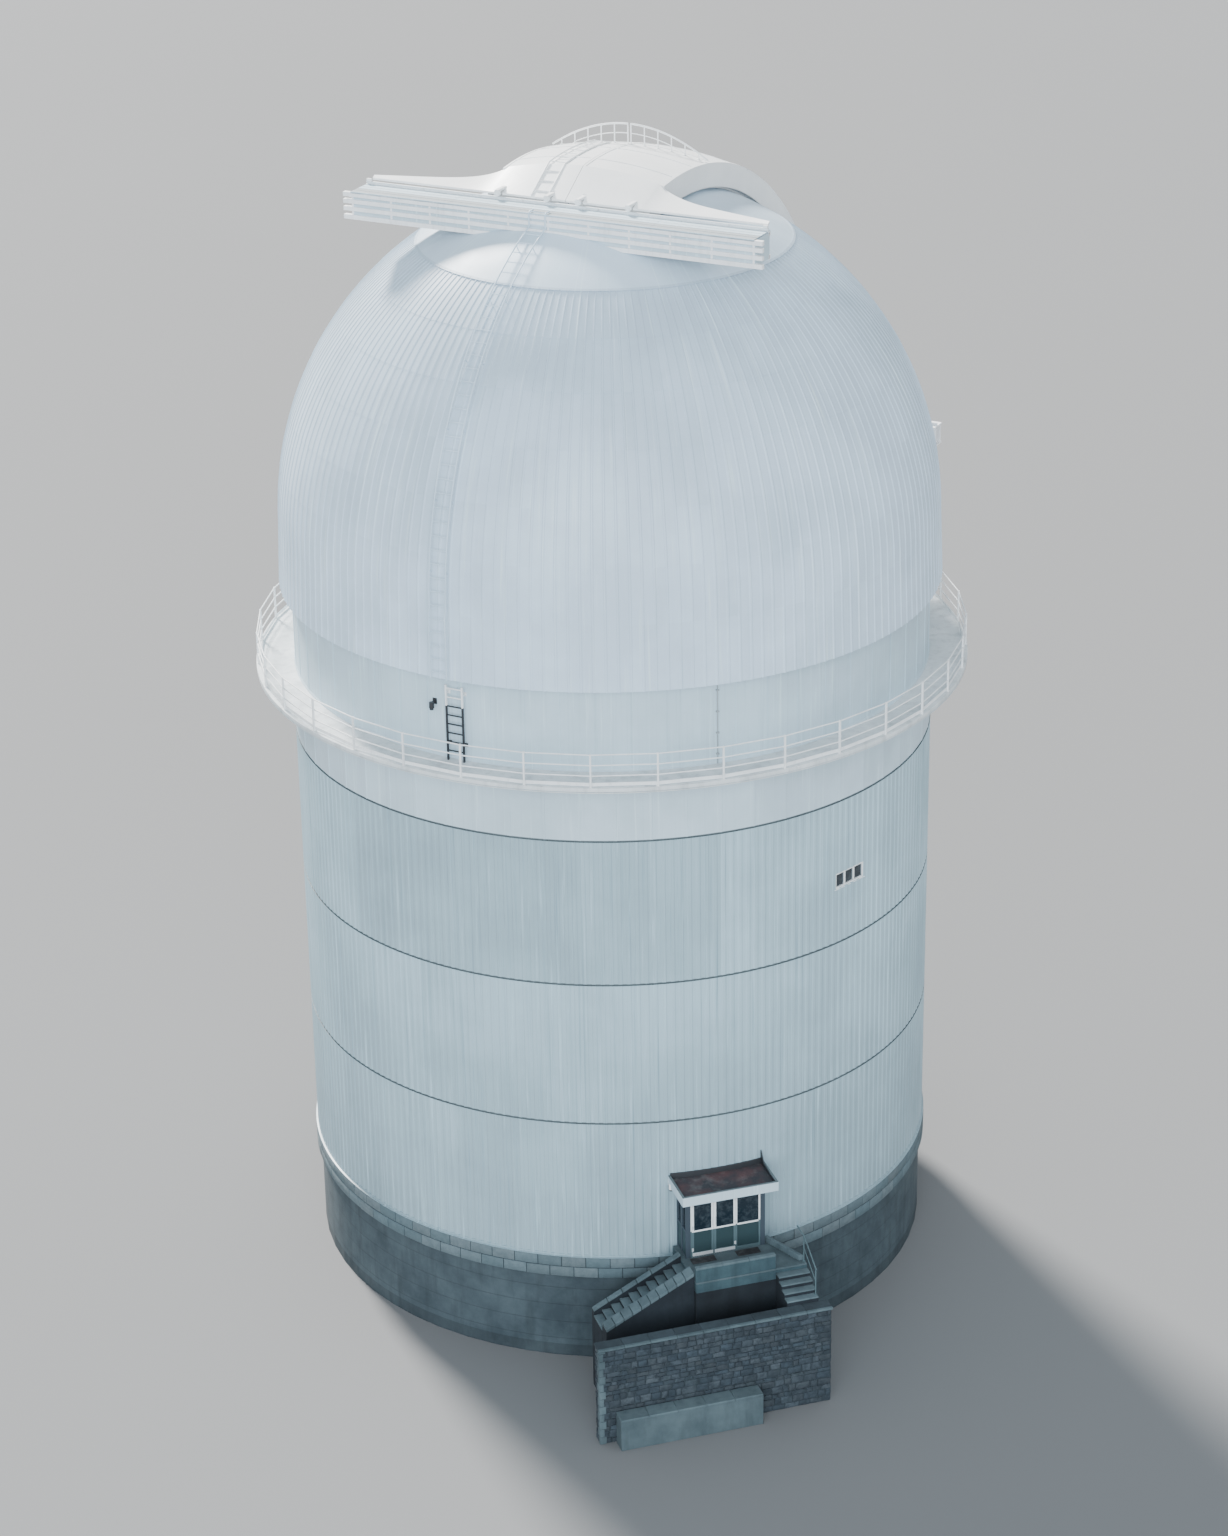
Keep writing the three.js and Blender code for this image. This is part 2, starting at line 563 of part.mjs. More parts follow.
function buildShell() {
  const slit = box(-SLIT_HALF, SLIT_HALF, SLIT_REAR, FAR, SLIT_FOOT, FAR);
  const open = domeShell().subtract(slit);
  const crown = disc(CAP_RADIUS, 0, FAR);
  const lower = open.subtract(disc(CAP_RADIUS + GAP, 0, FAR));
  const gores = 4;
  for (let i = 0; i < gores; i += 1) {
    const from = 180 + i * 360 / gores;
    place(dome, `dome_gore_${i + 1}`, lower.intersect(wedge(from, from + 360 / gores)), 'white');
  }
  place(dome, 'dome_crown', open.intersect(crown), 'white');
}

function buildBaseRing() {
  const railTop = WALL_TOP + RAIL_THICK - DOME_CENTRE;
  const girderFoot = railTop + 2 * WHEEL_RADIUS - 40;
  const girder = ring(GIRDER_INNER, SKIRT_INNER - GAP, girderFoot, girderFoot + GIRDER_HEIGHT);
  const middle = (RAIL_INNER + RAIL_OUTER) / 2;
  const wheel = bar(WHEEL_RADIUS, WHEEL_WIDTH, 'y', 0, -middle, railTop + GAP + WHEEL_RADIUS);
  const wheels = Array.from({ length: WHEELS }, (_, i) => turnZ(wheel, 5 + i * 360 / WHEELS));
  place(dome, 'dome_base_ring', union([girder, ...wheels]), 'steel');
}

const COAMING_HEIGHT = 140;
const COAMING_THICK = 90;

function buildCoaming() {
  const side = SLIT_HALF + COAMING_THICK;
  const around = box(-side, side, SLIT_REAR - COAMING_THICK, FAR, SLIT_FOOT, FAR)
    .subtract(box(-SLIT_HALF, SLIT_HALF, SLIT_REAR, FAR, 0, FAR));
  const band = domeSolid(COAMING_HEIGHT).subtract(domeSolid(GAP));
  place(dome, 'slit_coaming', band.intersect(around), 'white');
}

const BEAM_HALF = 6450;
const BEAM_REAR = -3600;
const BEAM_FRONT = -2500;
const BEAM_FOOT = 9020;
const BEAM_TOP = 9820;
const CHORD = 130;
const BAYS = 10;
const UPRIGHT = 80;
const BEAM_RAILS = [250, 470];              // two rails along the rear face, above its foot
const BEAM_RAIL_SIZE = 120;
const OVERHANG = 250;                       // how far the rear face's bars reach past the beam's ends
const SIDE_SHEET = 20;
const SIDE_INSET = 60;
const TRACK_Y = -2640;
const TRACK_HALF = 40;
const TRACK_TOP = BEAM_TOP + 110;

function buildUpperBeam() {
  const inset = UPRIGHT / 4;
  const half = UPRIGHT / 2;
  const parts = [];
  for (const [y0, reach] of [[BEAM_REAR, BEAM_HALF + OVERHANG], [BEAM_FRONT - CHORD, BEAM_HALF]]) {
    parts.push(box(-reach, reach, y0, y0 + CHORD, BEAM_FOOT, BEAM_FOOT + CHORD));
    parts.push(box(-reach, reach, y0, y0 + CHORD, BEAM_TOP - CHORD, BEAM_TOP));
  }
  for (const rail of BEAM_RAILS) {
    const z = BEAM_FOOT + rail;
    parts.push(box(-BEAM_HALF - OVERHANG, BEAM_HALF + OVERHANG, BEAM_REAR, BEAM_REAR + BEAM_RAIL_SIZE, z,
      z + BEAM_RAIL_SIZE));
  }
  const [rearSheet, frontSheet] = [BEAM_REAR + SIDE_INSET, BEAM_FRONT - SIDE_INSET];
  parts.push(box(-BEAM_HALF, BEAM_HALF, rearSheet, frontSheet, BEAM_FOOT + inset, BEAM_TOP - inset)
    .subtract(box(SIDE_SHEET - BEAM_HALF, BEAM_HALF - SIDE_SHEET, rearSheet + SIDE_SHEET,
      frontSheet - SIDE_SHEET, 0, BEAM_TOP - CHORD)));
  for (let i = 0; i <= BAYS; i += 1) {
    const x = -BEAM_HALF + half + i * (2 * BEAM_HALF - UPRIGHT) / BAYS;
    for (const y0 of [BEAM_REAR + inset, BEAM_FRONT - CHORD + inset]) {
      parts.push(box(x - half, x + half, y0, y0 + UPRIGHT, BEAM_FOOT + inset, BEAM_TOP - inset));
    }
    parts.push(box(x - half, x + half, BEAM_REAR + inset, BEAM_FRONT - inset, BEAM_FOOT + inset,
      BEAM_FOOT + inset + UPRIGHT));
  }
  parts.push(box(-BEAM_HALF, BEAM_HALF, BEAM_REAR, BEAM_FRONT, BEAM_TOP - 30, BEAM_TOP + 30));
  parts.push(box(-BEAM_HALF, BEAM_HALF, TRACK_Y - TRACK_HALF, TRACK_Y + TRACK_HALF, BEAM_TOP, TRACK_TOP));
  place(dome, 'upper_beam', union(parts).subtract(domeSolid(GAP)), 'band');
}

const LOWER_BACK = 10230;
const LOWER_FRONT = 10830;
const LOWER_FOOT = -560;
const LOWER_TOP = 120;
const LOWER_TRACK_Y = 10450;
const LOWER_TRACK_TOP = LOWER_TOP + 90;
const FLANGE = 60;
const WEB = 40;
const BRACKETS = [-6200, -4200, -1500, 1500, 4200, 6200];
const BRACKET_ROOT = 7000;                  // inside the dome, which then trims the solid

function buildLowerBeam() {
  const rearWeb = LOWER_BACK + 120;
  const frontWeb = LOWER_FRONT - 120 - WEB;
  const parts = [
    box(-BEAM_HALF, BEAM_HALF, LOWER_BACK, LOWER_FRONT, LOWER_TOP - FLANGE, LOWER_TOP),
    box(-BEAM_HALF, BEAM_HALF, LOWER_BACK, LOWER_FRONT, LOWER_FOOT, LOWER_FOOT + FLANGE),
    box(-BEAM_HALF, BEAM_HALF, rearWeb, rearWeb + WEB, LOWER_FOOT, LOWER_TOP),
    box(-BEAM_HALF, BEAM_HALF, frontWeb, frontWeb + WEB, LOWER_FOOT, LOWER_TOP),
    box(-BEAM_HALF, BEAM_HALF, LOWER_TRACK_Y - TRACK_HALF, LOWER_TRACK_Y + TRACK_HALF, LOWER_TOP - 10,
      LOWER_TRACK_TOP),
  ];
  for (const x of BRACKETS) {
    parts.push(box(x - 30, x + 30, BRACKET_ROOT, rearWeb + WEB / 2, LOWER_FOOT, LOWER_TOP - 80));
  }
  place(dome, 'lower_beam', union(parts).subtract(domeSolid(GAP)), 'band');
}

// A ladder bent over the dome's back, from its lower edge to the beam
const STAND = 110;
const STRINGER = 44;
const DOME_LADDER_X = -300;
const DOME_RUNG_PITCH = 400;

// Points up the ladder's outer face in the Y-Z plane, a short way apart.
function ladderPath() {
  const radius = DOME_RADIUS + STAND + STRINGER;
  const last = Math.acos((-BEAM_REAR + 40) / radius);
  const steps = 12;
  const arc = Array.from({ length: steps }, (_, i) => {
    const a = last * (i + 1) / steps;
    return [-radius * Math.cos(a), radius * Math.sin(a)];
  });
  return [[-SKIRT_OUTER - STAND - STRINGER, SKIRT_FOOT + 40], [-SKIRT_OUTER - STAND - STRINGER, 0], ...arc];
}

// The path moved inwards by a depth.
function inwards(path, depth) {
  return path.map(([y, z], i) => {
    const next = path[Math.min(i + 1, path.length - 1)];
    const last = path[Math.max(i - 1, 0)];
    const length = Math.hypot(next[0] - last[0], next[1] - last[1]);
    return [y + depth * (next[1] - last[1]) / length, z - depth * (next[0] - last[0]) / length];
  });
}

// Places at an even pitch along a path, with the path's slope there.
function placesAlong(path, pitch) {
  const places = [];
  let left = pitch / 2;
  for (let i = 1; i < path.length; i += 1) {
    const [dy, dz] = [path[i][0] - path[i - 1][0], path[i][1] - path[i - 1][1]];
    const length = Math.hypot(dy, dz);
    for (; left < length; left += pitch) {
      places.push([path[i - 1][0] + dy * left / length, path[i - 1][1] + dz * left / length,
        Math.atan2(dz, dy)]);
    }
    left -= length;
  }
  return places;
}

function buildDomeLadder() {
  const path = ladderPath();
  const middle = inwards(path, STRINGER / 2);
  const half = LADDER_WIDTH / 2;
  const outline = [...path, ...inwards(path, STRINGER).reverse()].reverse();
  const across = (depth, height, [y, z, slope], x0, x1) => solid(new THREE.BoxGeometry(x1 - x0, height, depth)
    .rotateX(slope).translate((x0 + x1) / 2, y, z));
  const parts = [];
  for (const x of [DOME_LADDER_X - half, DOME_LADDER_X + half]) {
    parts.push(profileAlongX(outline, x - STRINGER / 2, x + STRINGER / 2));
    const feet = placesAlong(inwards(path, STAND / 2 + STRINGER), 2400);
    feet.forEach((foot) => parts.push(across(STAND + 60, 30, foot, x - 15, x + 15)));
  }
  placesAlong(middle, DOME_RUNG_PITCH).forEach((rung) => {
    parts.push(across(26, 26, rung, DOME_LADDER_X - half, DOME_LADDER_X + half));
  });
  place(dome, 'dome_ladder', union(parts).subtract(domeSolid(GAP)), 'band');
}

// Shutters: two arched leaves that part along X

const LEAF_SEAM = 10;
const SHUTTER_HALF = 2600;
const SHUTTER_RADIUS = 10800;
const SHUTTER_THICK = 120;
const SHUTTER_FLANK_FOOT = 9760;
const SHUTTER_REAR = -2300;
const SHUTTER_FOOT = 260;
const SHUTTER_CLEAR = 60;
const FOOT_PLATE_BACK = 10300;
const HOLLOW = 4000;                        // a radius well inside the shutters
const TROLLEYS = [500, 2100];
const UPPER_WHEEL = 100;
const LOWER_WHEEL = 60;
const TROLLEY_WIDTH = 70;

const crownRadius = (x) => Math.sqrt(SHUTTER_RADIUS ** 2 - x ** 2);

// A hood on each leaf falls from its crown to the beam behind it and flares out over the beam
const HOOD_HALF = 6350;
const HOOD_REAR = -2450;
const HOOD_FOOT = 9990;
const HOOD_THICK = 60;
const HOOD_SHOULDER = 2400;                 // from here outwards its ridge leaves the leaf's crown
const RIDGE_Y = -1300;
const RIDGE_END_Y = -2350;
const RIDGE_END_Z = 10050;
const FLARE = 6;
const TRIM_MARGIN = 100;
const ARM_HALF = 60;                        // arms that carry the upper wheels over the track
const ARM_REACH = [-2700, -2180];
const ARM_LEVEL = [TRACK_TOP + 60, TRACK_TOP + 200];

// Turns a closed outline of [x, radius] points about the X axis.
function turnedAboutX(points) {
  const closed = [...points, points[0]];
  const g = new THREE.LatheGeometry(closed.map(([x, r]) => new THREE.Vector2(r, x)), 96);
  g.rotateZ(-Math.PI / 2);
  return solid(g);
}

// Where the hood's ridge lies at an X: its Y and Z.
function hoodRidge(x) {
  const shoulder = Math.min(x, HOOD_SHOULDER);
  const crown = Math.sqrt(crownRadius(shoulder) ** 2 - RIDGE_Y ** 2);
  const share = (x - shoulder) / (HOOD_HALF - HOOD_SHOULDER);
  const y = RIDGE_Y + share * (RIDGE_END_Y - RIDGE_Y);
  return [y, RIDGE_END_Z + (crown - RIDGE_END_Z) * (1 - share) ** FLARE];
}

// Sections along X, closer together where the ridge falls fastest.
function hoodSections(section) {
  const inner = [0, 1, 2, 3].map((i) => LEAF_SEAM + (HOOD_SHOULDER - LEAF_SEAM) * i / 3);
  const steps = 9;
  const outer = Array.from({ length: steps }, (_, i) => HOOD_SHOULDER
    + (HOOD_HALF - HOOD_SHOULDER) * ((i + 1) / steps) ** 1.5);
  return loft([...inner, ...outer].map((x) => section(x, ...hoodRidge(x))));
}

// The hood is a sheet over the leaf, notched for the arms that carry the upper wheels.
function leafHood() {
  const sheet = hoodSections((x, y, z) => [[x, HOOD_REAR, HOOD_FOOT - HOOD_THICK], [x, y, z - HOOD_THICK],
    [x, y, z], [x, HOOD_REAR, HOOD_FOOT]]);
  const reach = ARM_HALF + GAP;
  const notches = TROLLEYS.map((x) => box(x - reach, x + reach, -FAR, ARM_REACH[1] + GAP, 0, FAR));
  return sheet.subtract(union(notches));
}

// What lies above the hood's underside, to trim the leaf below it.
function overHood() {
  const under = HOOD_THICK + GAP;
  const foot = HOOD_FOOT - under;
  const back = HOOD_REAR - TRIM_MARGIN;
  return hoodSections((x, y, z) => [[x - GAP, back, foot], [x - GAP, HOOD_REAR, foot],
    [x - GAP, y + GAP, z - under], [x - GAP, y + GAP, FAR], [x - GAP, back, FAR]]);
}

function shutterLeaf() {
  const steps = 4;
  const flank = SHUTTER_HALF - SHUTTER_THICK;
  const along = (to) => Array.from({ length: steps + 1 }, (_, i) => LEAF_SEAM + (to - LEAF_SEAM) * i / steps);
  const outer = along(SHUTTER_HALF).map((x) => [x, crownRadius(x)]);
  const inner = along(flank).map((x) => [x, crownRadius(x) - SHUTTER_THICK]);
  const section = [...outer, [SHUTTER_HALF, SHUTTER_FLANK_FOOT], [flank, SHUTTER_FLANK_FOOT],
    ...inner.reverse()];
  const keep = box(-FAR, FAR, SHUTTER_REAR, FAR, SHUTTER_FOOT, FAR);
  const arch = turnedAboutX(section).intersect(keep);

  const filled = turnedAboutX([...outer, [SHUTTER_HALF, HOLLOW], [LEAF_SEAM, HOLLOW]]);
  const rearPlate = box(LEAF_SEAM, SHUTTER_HALF, SHUTTER_REAR, SHUTTER_REAR + SHUTTER_THICK, HOLLOW, FAR)
    .intersect(filled).subtract(turned([...quarterArc(DOME_RADIUS + SHUTTER_CLEAR), [0, 0]]));
  const footPlate = box(LEAF_SEAM, SHUTTER_HALF, FOOT_PLATE_BACK, FAR, SHUTTER_FOOT, SHUTTER_FOOT + 100)
    .intersect(filled);
  const parts = [union([arch, rearPlate]).subtract(overHood()), footPlate];
  for (const x of TROLLEYS) {
    parts.push(box(x - ARM_HALF, x + ARM_HALF, ...ARM_REACH, ...ARM_LEVEL));
    parts.push(bar(UPPER_WHEEL, TROLLEY_WIDTH, 'y', x, TRACK_Y, TRACK_TOP + GAP + UPPER_WHEEL, 16));
    parts.push(bar(LOWER_WHEEL, TROLLEY_WIDTH, 'y', x, LOWER_TRACK_Y, LOWER_TRACK_TOP + GAP + LOWER_WHEEL,
      16));
  }
  return union(parts);
}

// Half of the bowed guard rail over the crest, with its posts
const CREST_Y = 1700;
const CREST_RISE = 620;
const CREST_FALL = 260;                     // how far the rail's ends drop below the shutters' crest
const CREST_POSTS = [50, 760, 1480, 2150];

function crestRail() {
  const y = CREST_Y;
  const half = 20;
  const baseZ = (x) => Math.sqrt(crownRadius(x) ** 2 - y ** 2);
  const topZ = (x) => baseZ(0) + CREST_RISE - (CREST_RISE + CREST_FALL) * (x / SHUTTER_HALF) ** 2;
  const steps = 8;
  const xs = Array.from({ length: steps + 1 }, (_, i) => 2 * LEAF_SEAM + i * (SHUTTER_HALF - 60) / steps);
  const upper = xs.map((x) => [x, topZ(x)]);
  const under = xs.map((x) => [x, topZ(x) - 2 * half]).reverse();
  const bow = profileAlongY([...under, ...upper], y - half, y + half);
  const posts = CREST_POSTS.map((x) => box(x - half, x + half, y - half, y + half, baseZ(x) - 60,
    topZ(x) - 5));
  return union([bow, ...posts]);
}

function buildShutters() {
  const leaf = shutterLeaf();
  const mirror = (m) => m.mirror([1, 0, 0]);
  place(dome, 'right_shutter', leaf, 'white');
  place(dome, 'left_shutter', mirror(leaf), 'white');
  const hood = leafHood();
  place(dome, 'right_hood', hood, 'white');
  place(dome, 'left_hood', mirror(hood), 'white');
  const crown = Array.from({ length: 9 }, (_, i) => {
    const x = SHUTTER_HALF * (i / 4 - 1);
    return [x, crownRadius(x) + GAP];
  });
  const skin = turnedAboutX([...crown, [SHUTTER_HALF, HOLLOW], [-SHUTTER_HALF, HOLLOW]]);
  const half = crestRail().subtract(skin);
  place(dome, 'right_crest_rail', half, 'steel');
  place(dome, 'left_crest_rail', mirror(half), 'steel');
}

buildTower();
buildWindow();
buildGallery();
buildGalleryLadder();
buildAzimuthRail();
buildPorch();
buildDoors();
buildStairs();
buildHandrail();
buildShell();
buildBaseRing();
buildCoaming();
buildUpperBeam();
buildLowerBeam();
buildDomeLadder();
buildShutters();

export default observatory;
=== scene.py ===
"""The looks of the observatory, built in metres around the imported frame.

Angles round the tower are measured from the front (-Y) towards the right (+X).
"""

import math
import random

import bmesh
import bpy
from mathutils import Matrix, Vector


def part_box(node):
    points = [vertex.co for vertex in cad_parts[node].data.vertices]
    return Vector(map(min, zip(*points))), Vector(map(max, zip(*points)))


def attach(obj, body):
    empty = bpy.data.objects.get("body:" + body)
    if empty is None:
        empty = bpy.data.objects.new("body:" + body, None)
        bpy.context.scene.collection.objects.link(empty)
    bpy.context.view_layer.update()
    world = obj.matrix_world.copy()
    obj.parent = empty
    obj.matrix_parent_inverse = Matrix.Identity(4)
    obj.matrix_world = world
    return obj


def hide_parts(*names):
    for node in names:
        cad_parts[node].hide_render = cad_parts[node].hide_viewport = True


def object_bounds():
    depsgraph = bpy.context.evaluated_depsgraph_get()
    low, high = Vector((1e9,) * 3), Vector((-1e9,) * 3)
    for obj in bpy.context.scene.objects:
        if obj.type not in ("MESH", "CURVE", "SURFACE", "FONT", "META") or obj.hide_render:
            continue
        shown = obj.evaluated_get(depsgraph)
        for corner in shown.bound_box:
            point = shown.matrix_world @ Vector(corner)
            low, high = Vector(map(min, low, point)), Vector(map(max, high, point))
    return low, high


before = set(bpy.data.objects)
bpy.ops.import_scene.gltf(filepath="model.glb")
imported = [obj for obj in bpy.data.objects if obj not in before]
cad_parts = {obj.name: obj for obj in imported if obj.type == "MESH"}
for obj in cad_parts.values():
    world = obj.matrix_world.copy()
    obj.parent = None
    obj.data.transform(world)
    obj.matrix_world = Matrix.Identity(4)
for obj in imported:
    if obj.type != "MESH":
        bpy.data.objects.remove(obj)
CAD_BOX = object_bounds()


# Sizes that come from the frame

def about_z(angle):
    return Matrix.Rotation(angle, 4, "Z")


def local_box(node, place):
    """The lowest and highest corner of a node, seen from a turned frame."""
    back = place.inverted()
    points = [back @ v.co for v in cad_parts[node].data.vertices]
    return [Vector([pick(p[i] for p in points) for i in range(3)]) for pick in (min, max)]


ENTRANCE_ANGLE = math.radians(17)
SLIT_ANGLE = math.radians(27)
WINDOW_ANGLE = math.radians(44.9)
ENTRANCE = about_z(ENTRANCE_ANGLE)

WALL_LOW, WALL_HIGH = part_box("wall_segment_1")
PLINTH_LOW, PLINTH_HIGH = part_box("plinth_band")
DECK_LOW, DECK_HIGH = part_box("gallery_deck")
WALL_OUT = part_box("foundation_raft")[1].x
WALL_IN = WALL_OUT - 0.4
SHEET_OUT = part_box("upper_cladding")[1].x
PLINTH_OUT = PLINTH_HIGH.x
DECK_OUT = DECK_HIGH.x
WALL_TOP = WALL_HIGH.z
DECK_TOP = DECK_HIGH.z
DECK_FOOT = DECK_LOW.z

DOME_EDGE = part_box("dome_gore_2")[0].z
DOME_CENTRE = DOME_EDGE + 1.97
DOME = Matrix.Translation((0, 0, DOME_CENTRE)) @ about_z(-SLIT_ANGLE)
DOME_OUT = 10.0
DOME_IN = 9.85
SKIRT_OUT = 10.08
SKIRT_IN = 9.86
CAP_EDGE = 5.55

EDGE = 0.004                     # how far a visible piece stays inside its node's faces


# Shapes

def around(radius, angle, z=0.0):
    """The point at an angle round the tower."""
    return radius * math.sin(angle), -radius * math.cos(angle), z


def polar(radius, angle):
    """A radius split into its parts along the cosine and the sine of an angle."""
    return radius * math.cos(angle), radius * math.sin(angle)


def on_sphere(radius, x, y=0.0):
    """The third coordinate of a point on a sphere, or the second on a circle."""
    return math.sqrt(radius ** 2 - x * x - y * y)


def block(u0, u1, v0, v1):
    """The corners of a rectangle."""
    return [(u0, v0), (u1, v0), (u1, v1), (u0, v1)]


def spread(start, end, count):
    """Evenly spaced values with both ends, one more than the count."""
    return [start + (end - start) * i / count for i in range(count + 1)]


def cells(start, end, count, gap=0.0):
    """Both ends of each cell in a row of equal cells, with a gap inside each end."""
    marks = spread(start, end, count)
    return [(a + gap, b - gap) for a, b in zip(marks, marks[1:])]


class Piece:
    """Gathers closed shapes, then becomes one object that rides a body."""

    def __init__(self, name, look, place=None):
        self.name = name
        self.place = place or Matrix()
        self.turn = None
        self.points = []
        self.faces = []
        self.looks = []
        self.face_looks = []
        self.face_tones = []
        self.use(look)

    def use(self, look, tone=0.5):
        if look not in self.looks:
            self.looks.append(look)
        self.look = self.looks.index(look)
        self.tone = tone

    def loft(self, rings, closed=False):
        """Joins rings of as many points each. The ends are capped unless the last ring meets the first."""
        n = len(rings[0])
        start = len(self.points)
        points = [Vector(p) for ring in rings for p in ring]
        self.points += [self.turn @ p for p in points] if self.turn else points
        faces = []
        for i in range(len(rings) if closed else len(rings) - 1):
            a = start + i * n
            b = start + (i + 1) % len(rings) * n
            faces += [[a + j, a + (j + 1) % n, b + (j + 1) % n, b + j] for j in range(n)]
        if not closed:
            last = start + (len(rings) - 1) * n
            faces += [list(range(start, start + n)), list(range(last, last + n))]
        self.faces += faces
        self.face_looks += [self.look] * len(faces)
        self.face_tones += [self.tone] * len(faces)

    def draw(self, outline, axis, start, end):
        """An outline in the other two axes, drawn out along X, Y or Z."""
        k = "xyz".index(axis)
        self.loft([[(*p[:k], at, *p[k:]) for p in outline] for at in (start, end)])

    def box(self, x0, x1, y0, y1, z0, z1):
        self.draw(block(x0, x1, y0, y1), "z", z0, z1)

    def tube(self, path, radius, sides=8):
        """A round tube along a path."""
        path = [Vector(p) for p in path]
        rings = []
        normal = None
        for i, point in enumerate(path):
            along = (path[min(i + 1, len(path) - 1)] - path[max(i - 1, 0)]).normalized()
            if normal is None:
                normal = along.orthogonal().normalized()
            normal = (normal - along * normal.dot(along)).normalized()
            other = along.cross(normal)
            turns = [math.tau * k / sides for k in range(sides)]
            rings.append([point + radius * (math.cos(t) * normal + math.sin(t) * other) for t in turns])
        self.loft(rings)

    def strut(self, a, b, width, depth, up=(0, 0, 1)):
        """A rectangular bar between two points."""
        a, b = Vector(a), Vector(b)
        along = (b - a).normalized()
        across = along.cross(Vector(up)).normalized() * width / 2
        over = across.cross(along).normalized() * depth / 2
        ring = [across + over, over - across, -across - over, across - over]
        self.loft([[end + r for r in ring] for end in (a, b)])

    def turned(self, profile, count=180):
        """A closed (radius, height) outline turned all the way round."""
        angles = (math.tau * i / count for i in range(count))
        self.loft([[around(r, a, z) for r, z in profile] for a in angles], closed=True)

    def arc(self, profile, start, end, count=1):
        """A closed (radius, height) outline turned from one angle to another."""
        self.loft([[around(r, a, z) for r, z in profile] for a in spread(start, end, count)])

    def drum(self, radius, centre, axis, width, sides):
        """A short cylinder whose axis lies along X, Y or Z."""
        along = Vector([1.0 if axis == k else 0.0 for k in "xyz"])
        a = Vector(centre) - along * width / 2
        self.tube([a, a + along * width], radius, sides)

    def mesh(self):
        data = bpy.data.meshes.new(self.name)
        data.from_pydata(self.points, [], self.faces)
        data.transform(self.place)
        for look in self.looks:
            data.materials.append(look)
        data.polygons.foreach_set("material_index", self.face_looks)
        tones = data.attributes.new("tone", "FLOAT", "FACE")
        tones.data.foreach_set("value", self.face_tones)
        work = bmesh.new()
        work.from_mesh(data)
        bmesh.ops.recalc_face_normals(work, faces=work.faces)
        work.to_mesh(data)
        work.free()
        return data

    def build(self, body, slot, *replaces, bevel=0.0, segments=1, smooth=32, cut=()):
        thing = shown(bpy.data.objects.new(self.name, self.mesh()))
        for cutter in cut:
            take_away(thing, cutter)
        if bevel:
            modifier = thing.modifiers.new("edges", "BEVEL")
            modifier.width = bevel
            modifier.segments = segments
            modifier.limit_method = "ANGLE"
            modifier.angle_limit = math.radians(40)
        thing.data.shade_smooth()
        thing.data.set_sharp_from_angle(angle=math.radians(smooth))
        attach(thing, body)
        if replaces:
            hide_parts(*replaces)


def shown(thing):
    bpy.context.scene.collection.objects.link(thing)
    return thing


def knife(place, *sides):
    """A box to cut out of a piece."""
    cutter = Piece("cutter", SKIN, place)
    cutter.box(*sides)
    return cutter


def take_away(thing, cutter):
    """Cuts a closed shape out of a piece and removes the cutter."""
    blade = shown(bpy.data.objects.new("blade", cutter.mesh()))
    modifier = thing.modifiers.new("cut", "BOOLEAN")
    modifier.operation = "DIFFERENCE"
    modifier.solver = "MANIFOLD"
    modifier.object = blade
    graph = bpy.context.evaluated_depsgraph_get()
    thing.data = bpy.data.meshes.new_from_object(thing.evaluated_get(graph))
    thing.modifiers.clear()
    bpy.data.objects.remove(blade)


# Materials

def shade(colour, share):
    return tuple(c * share for c in colour)


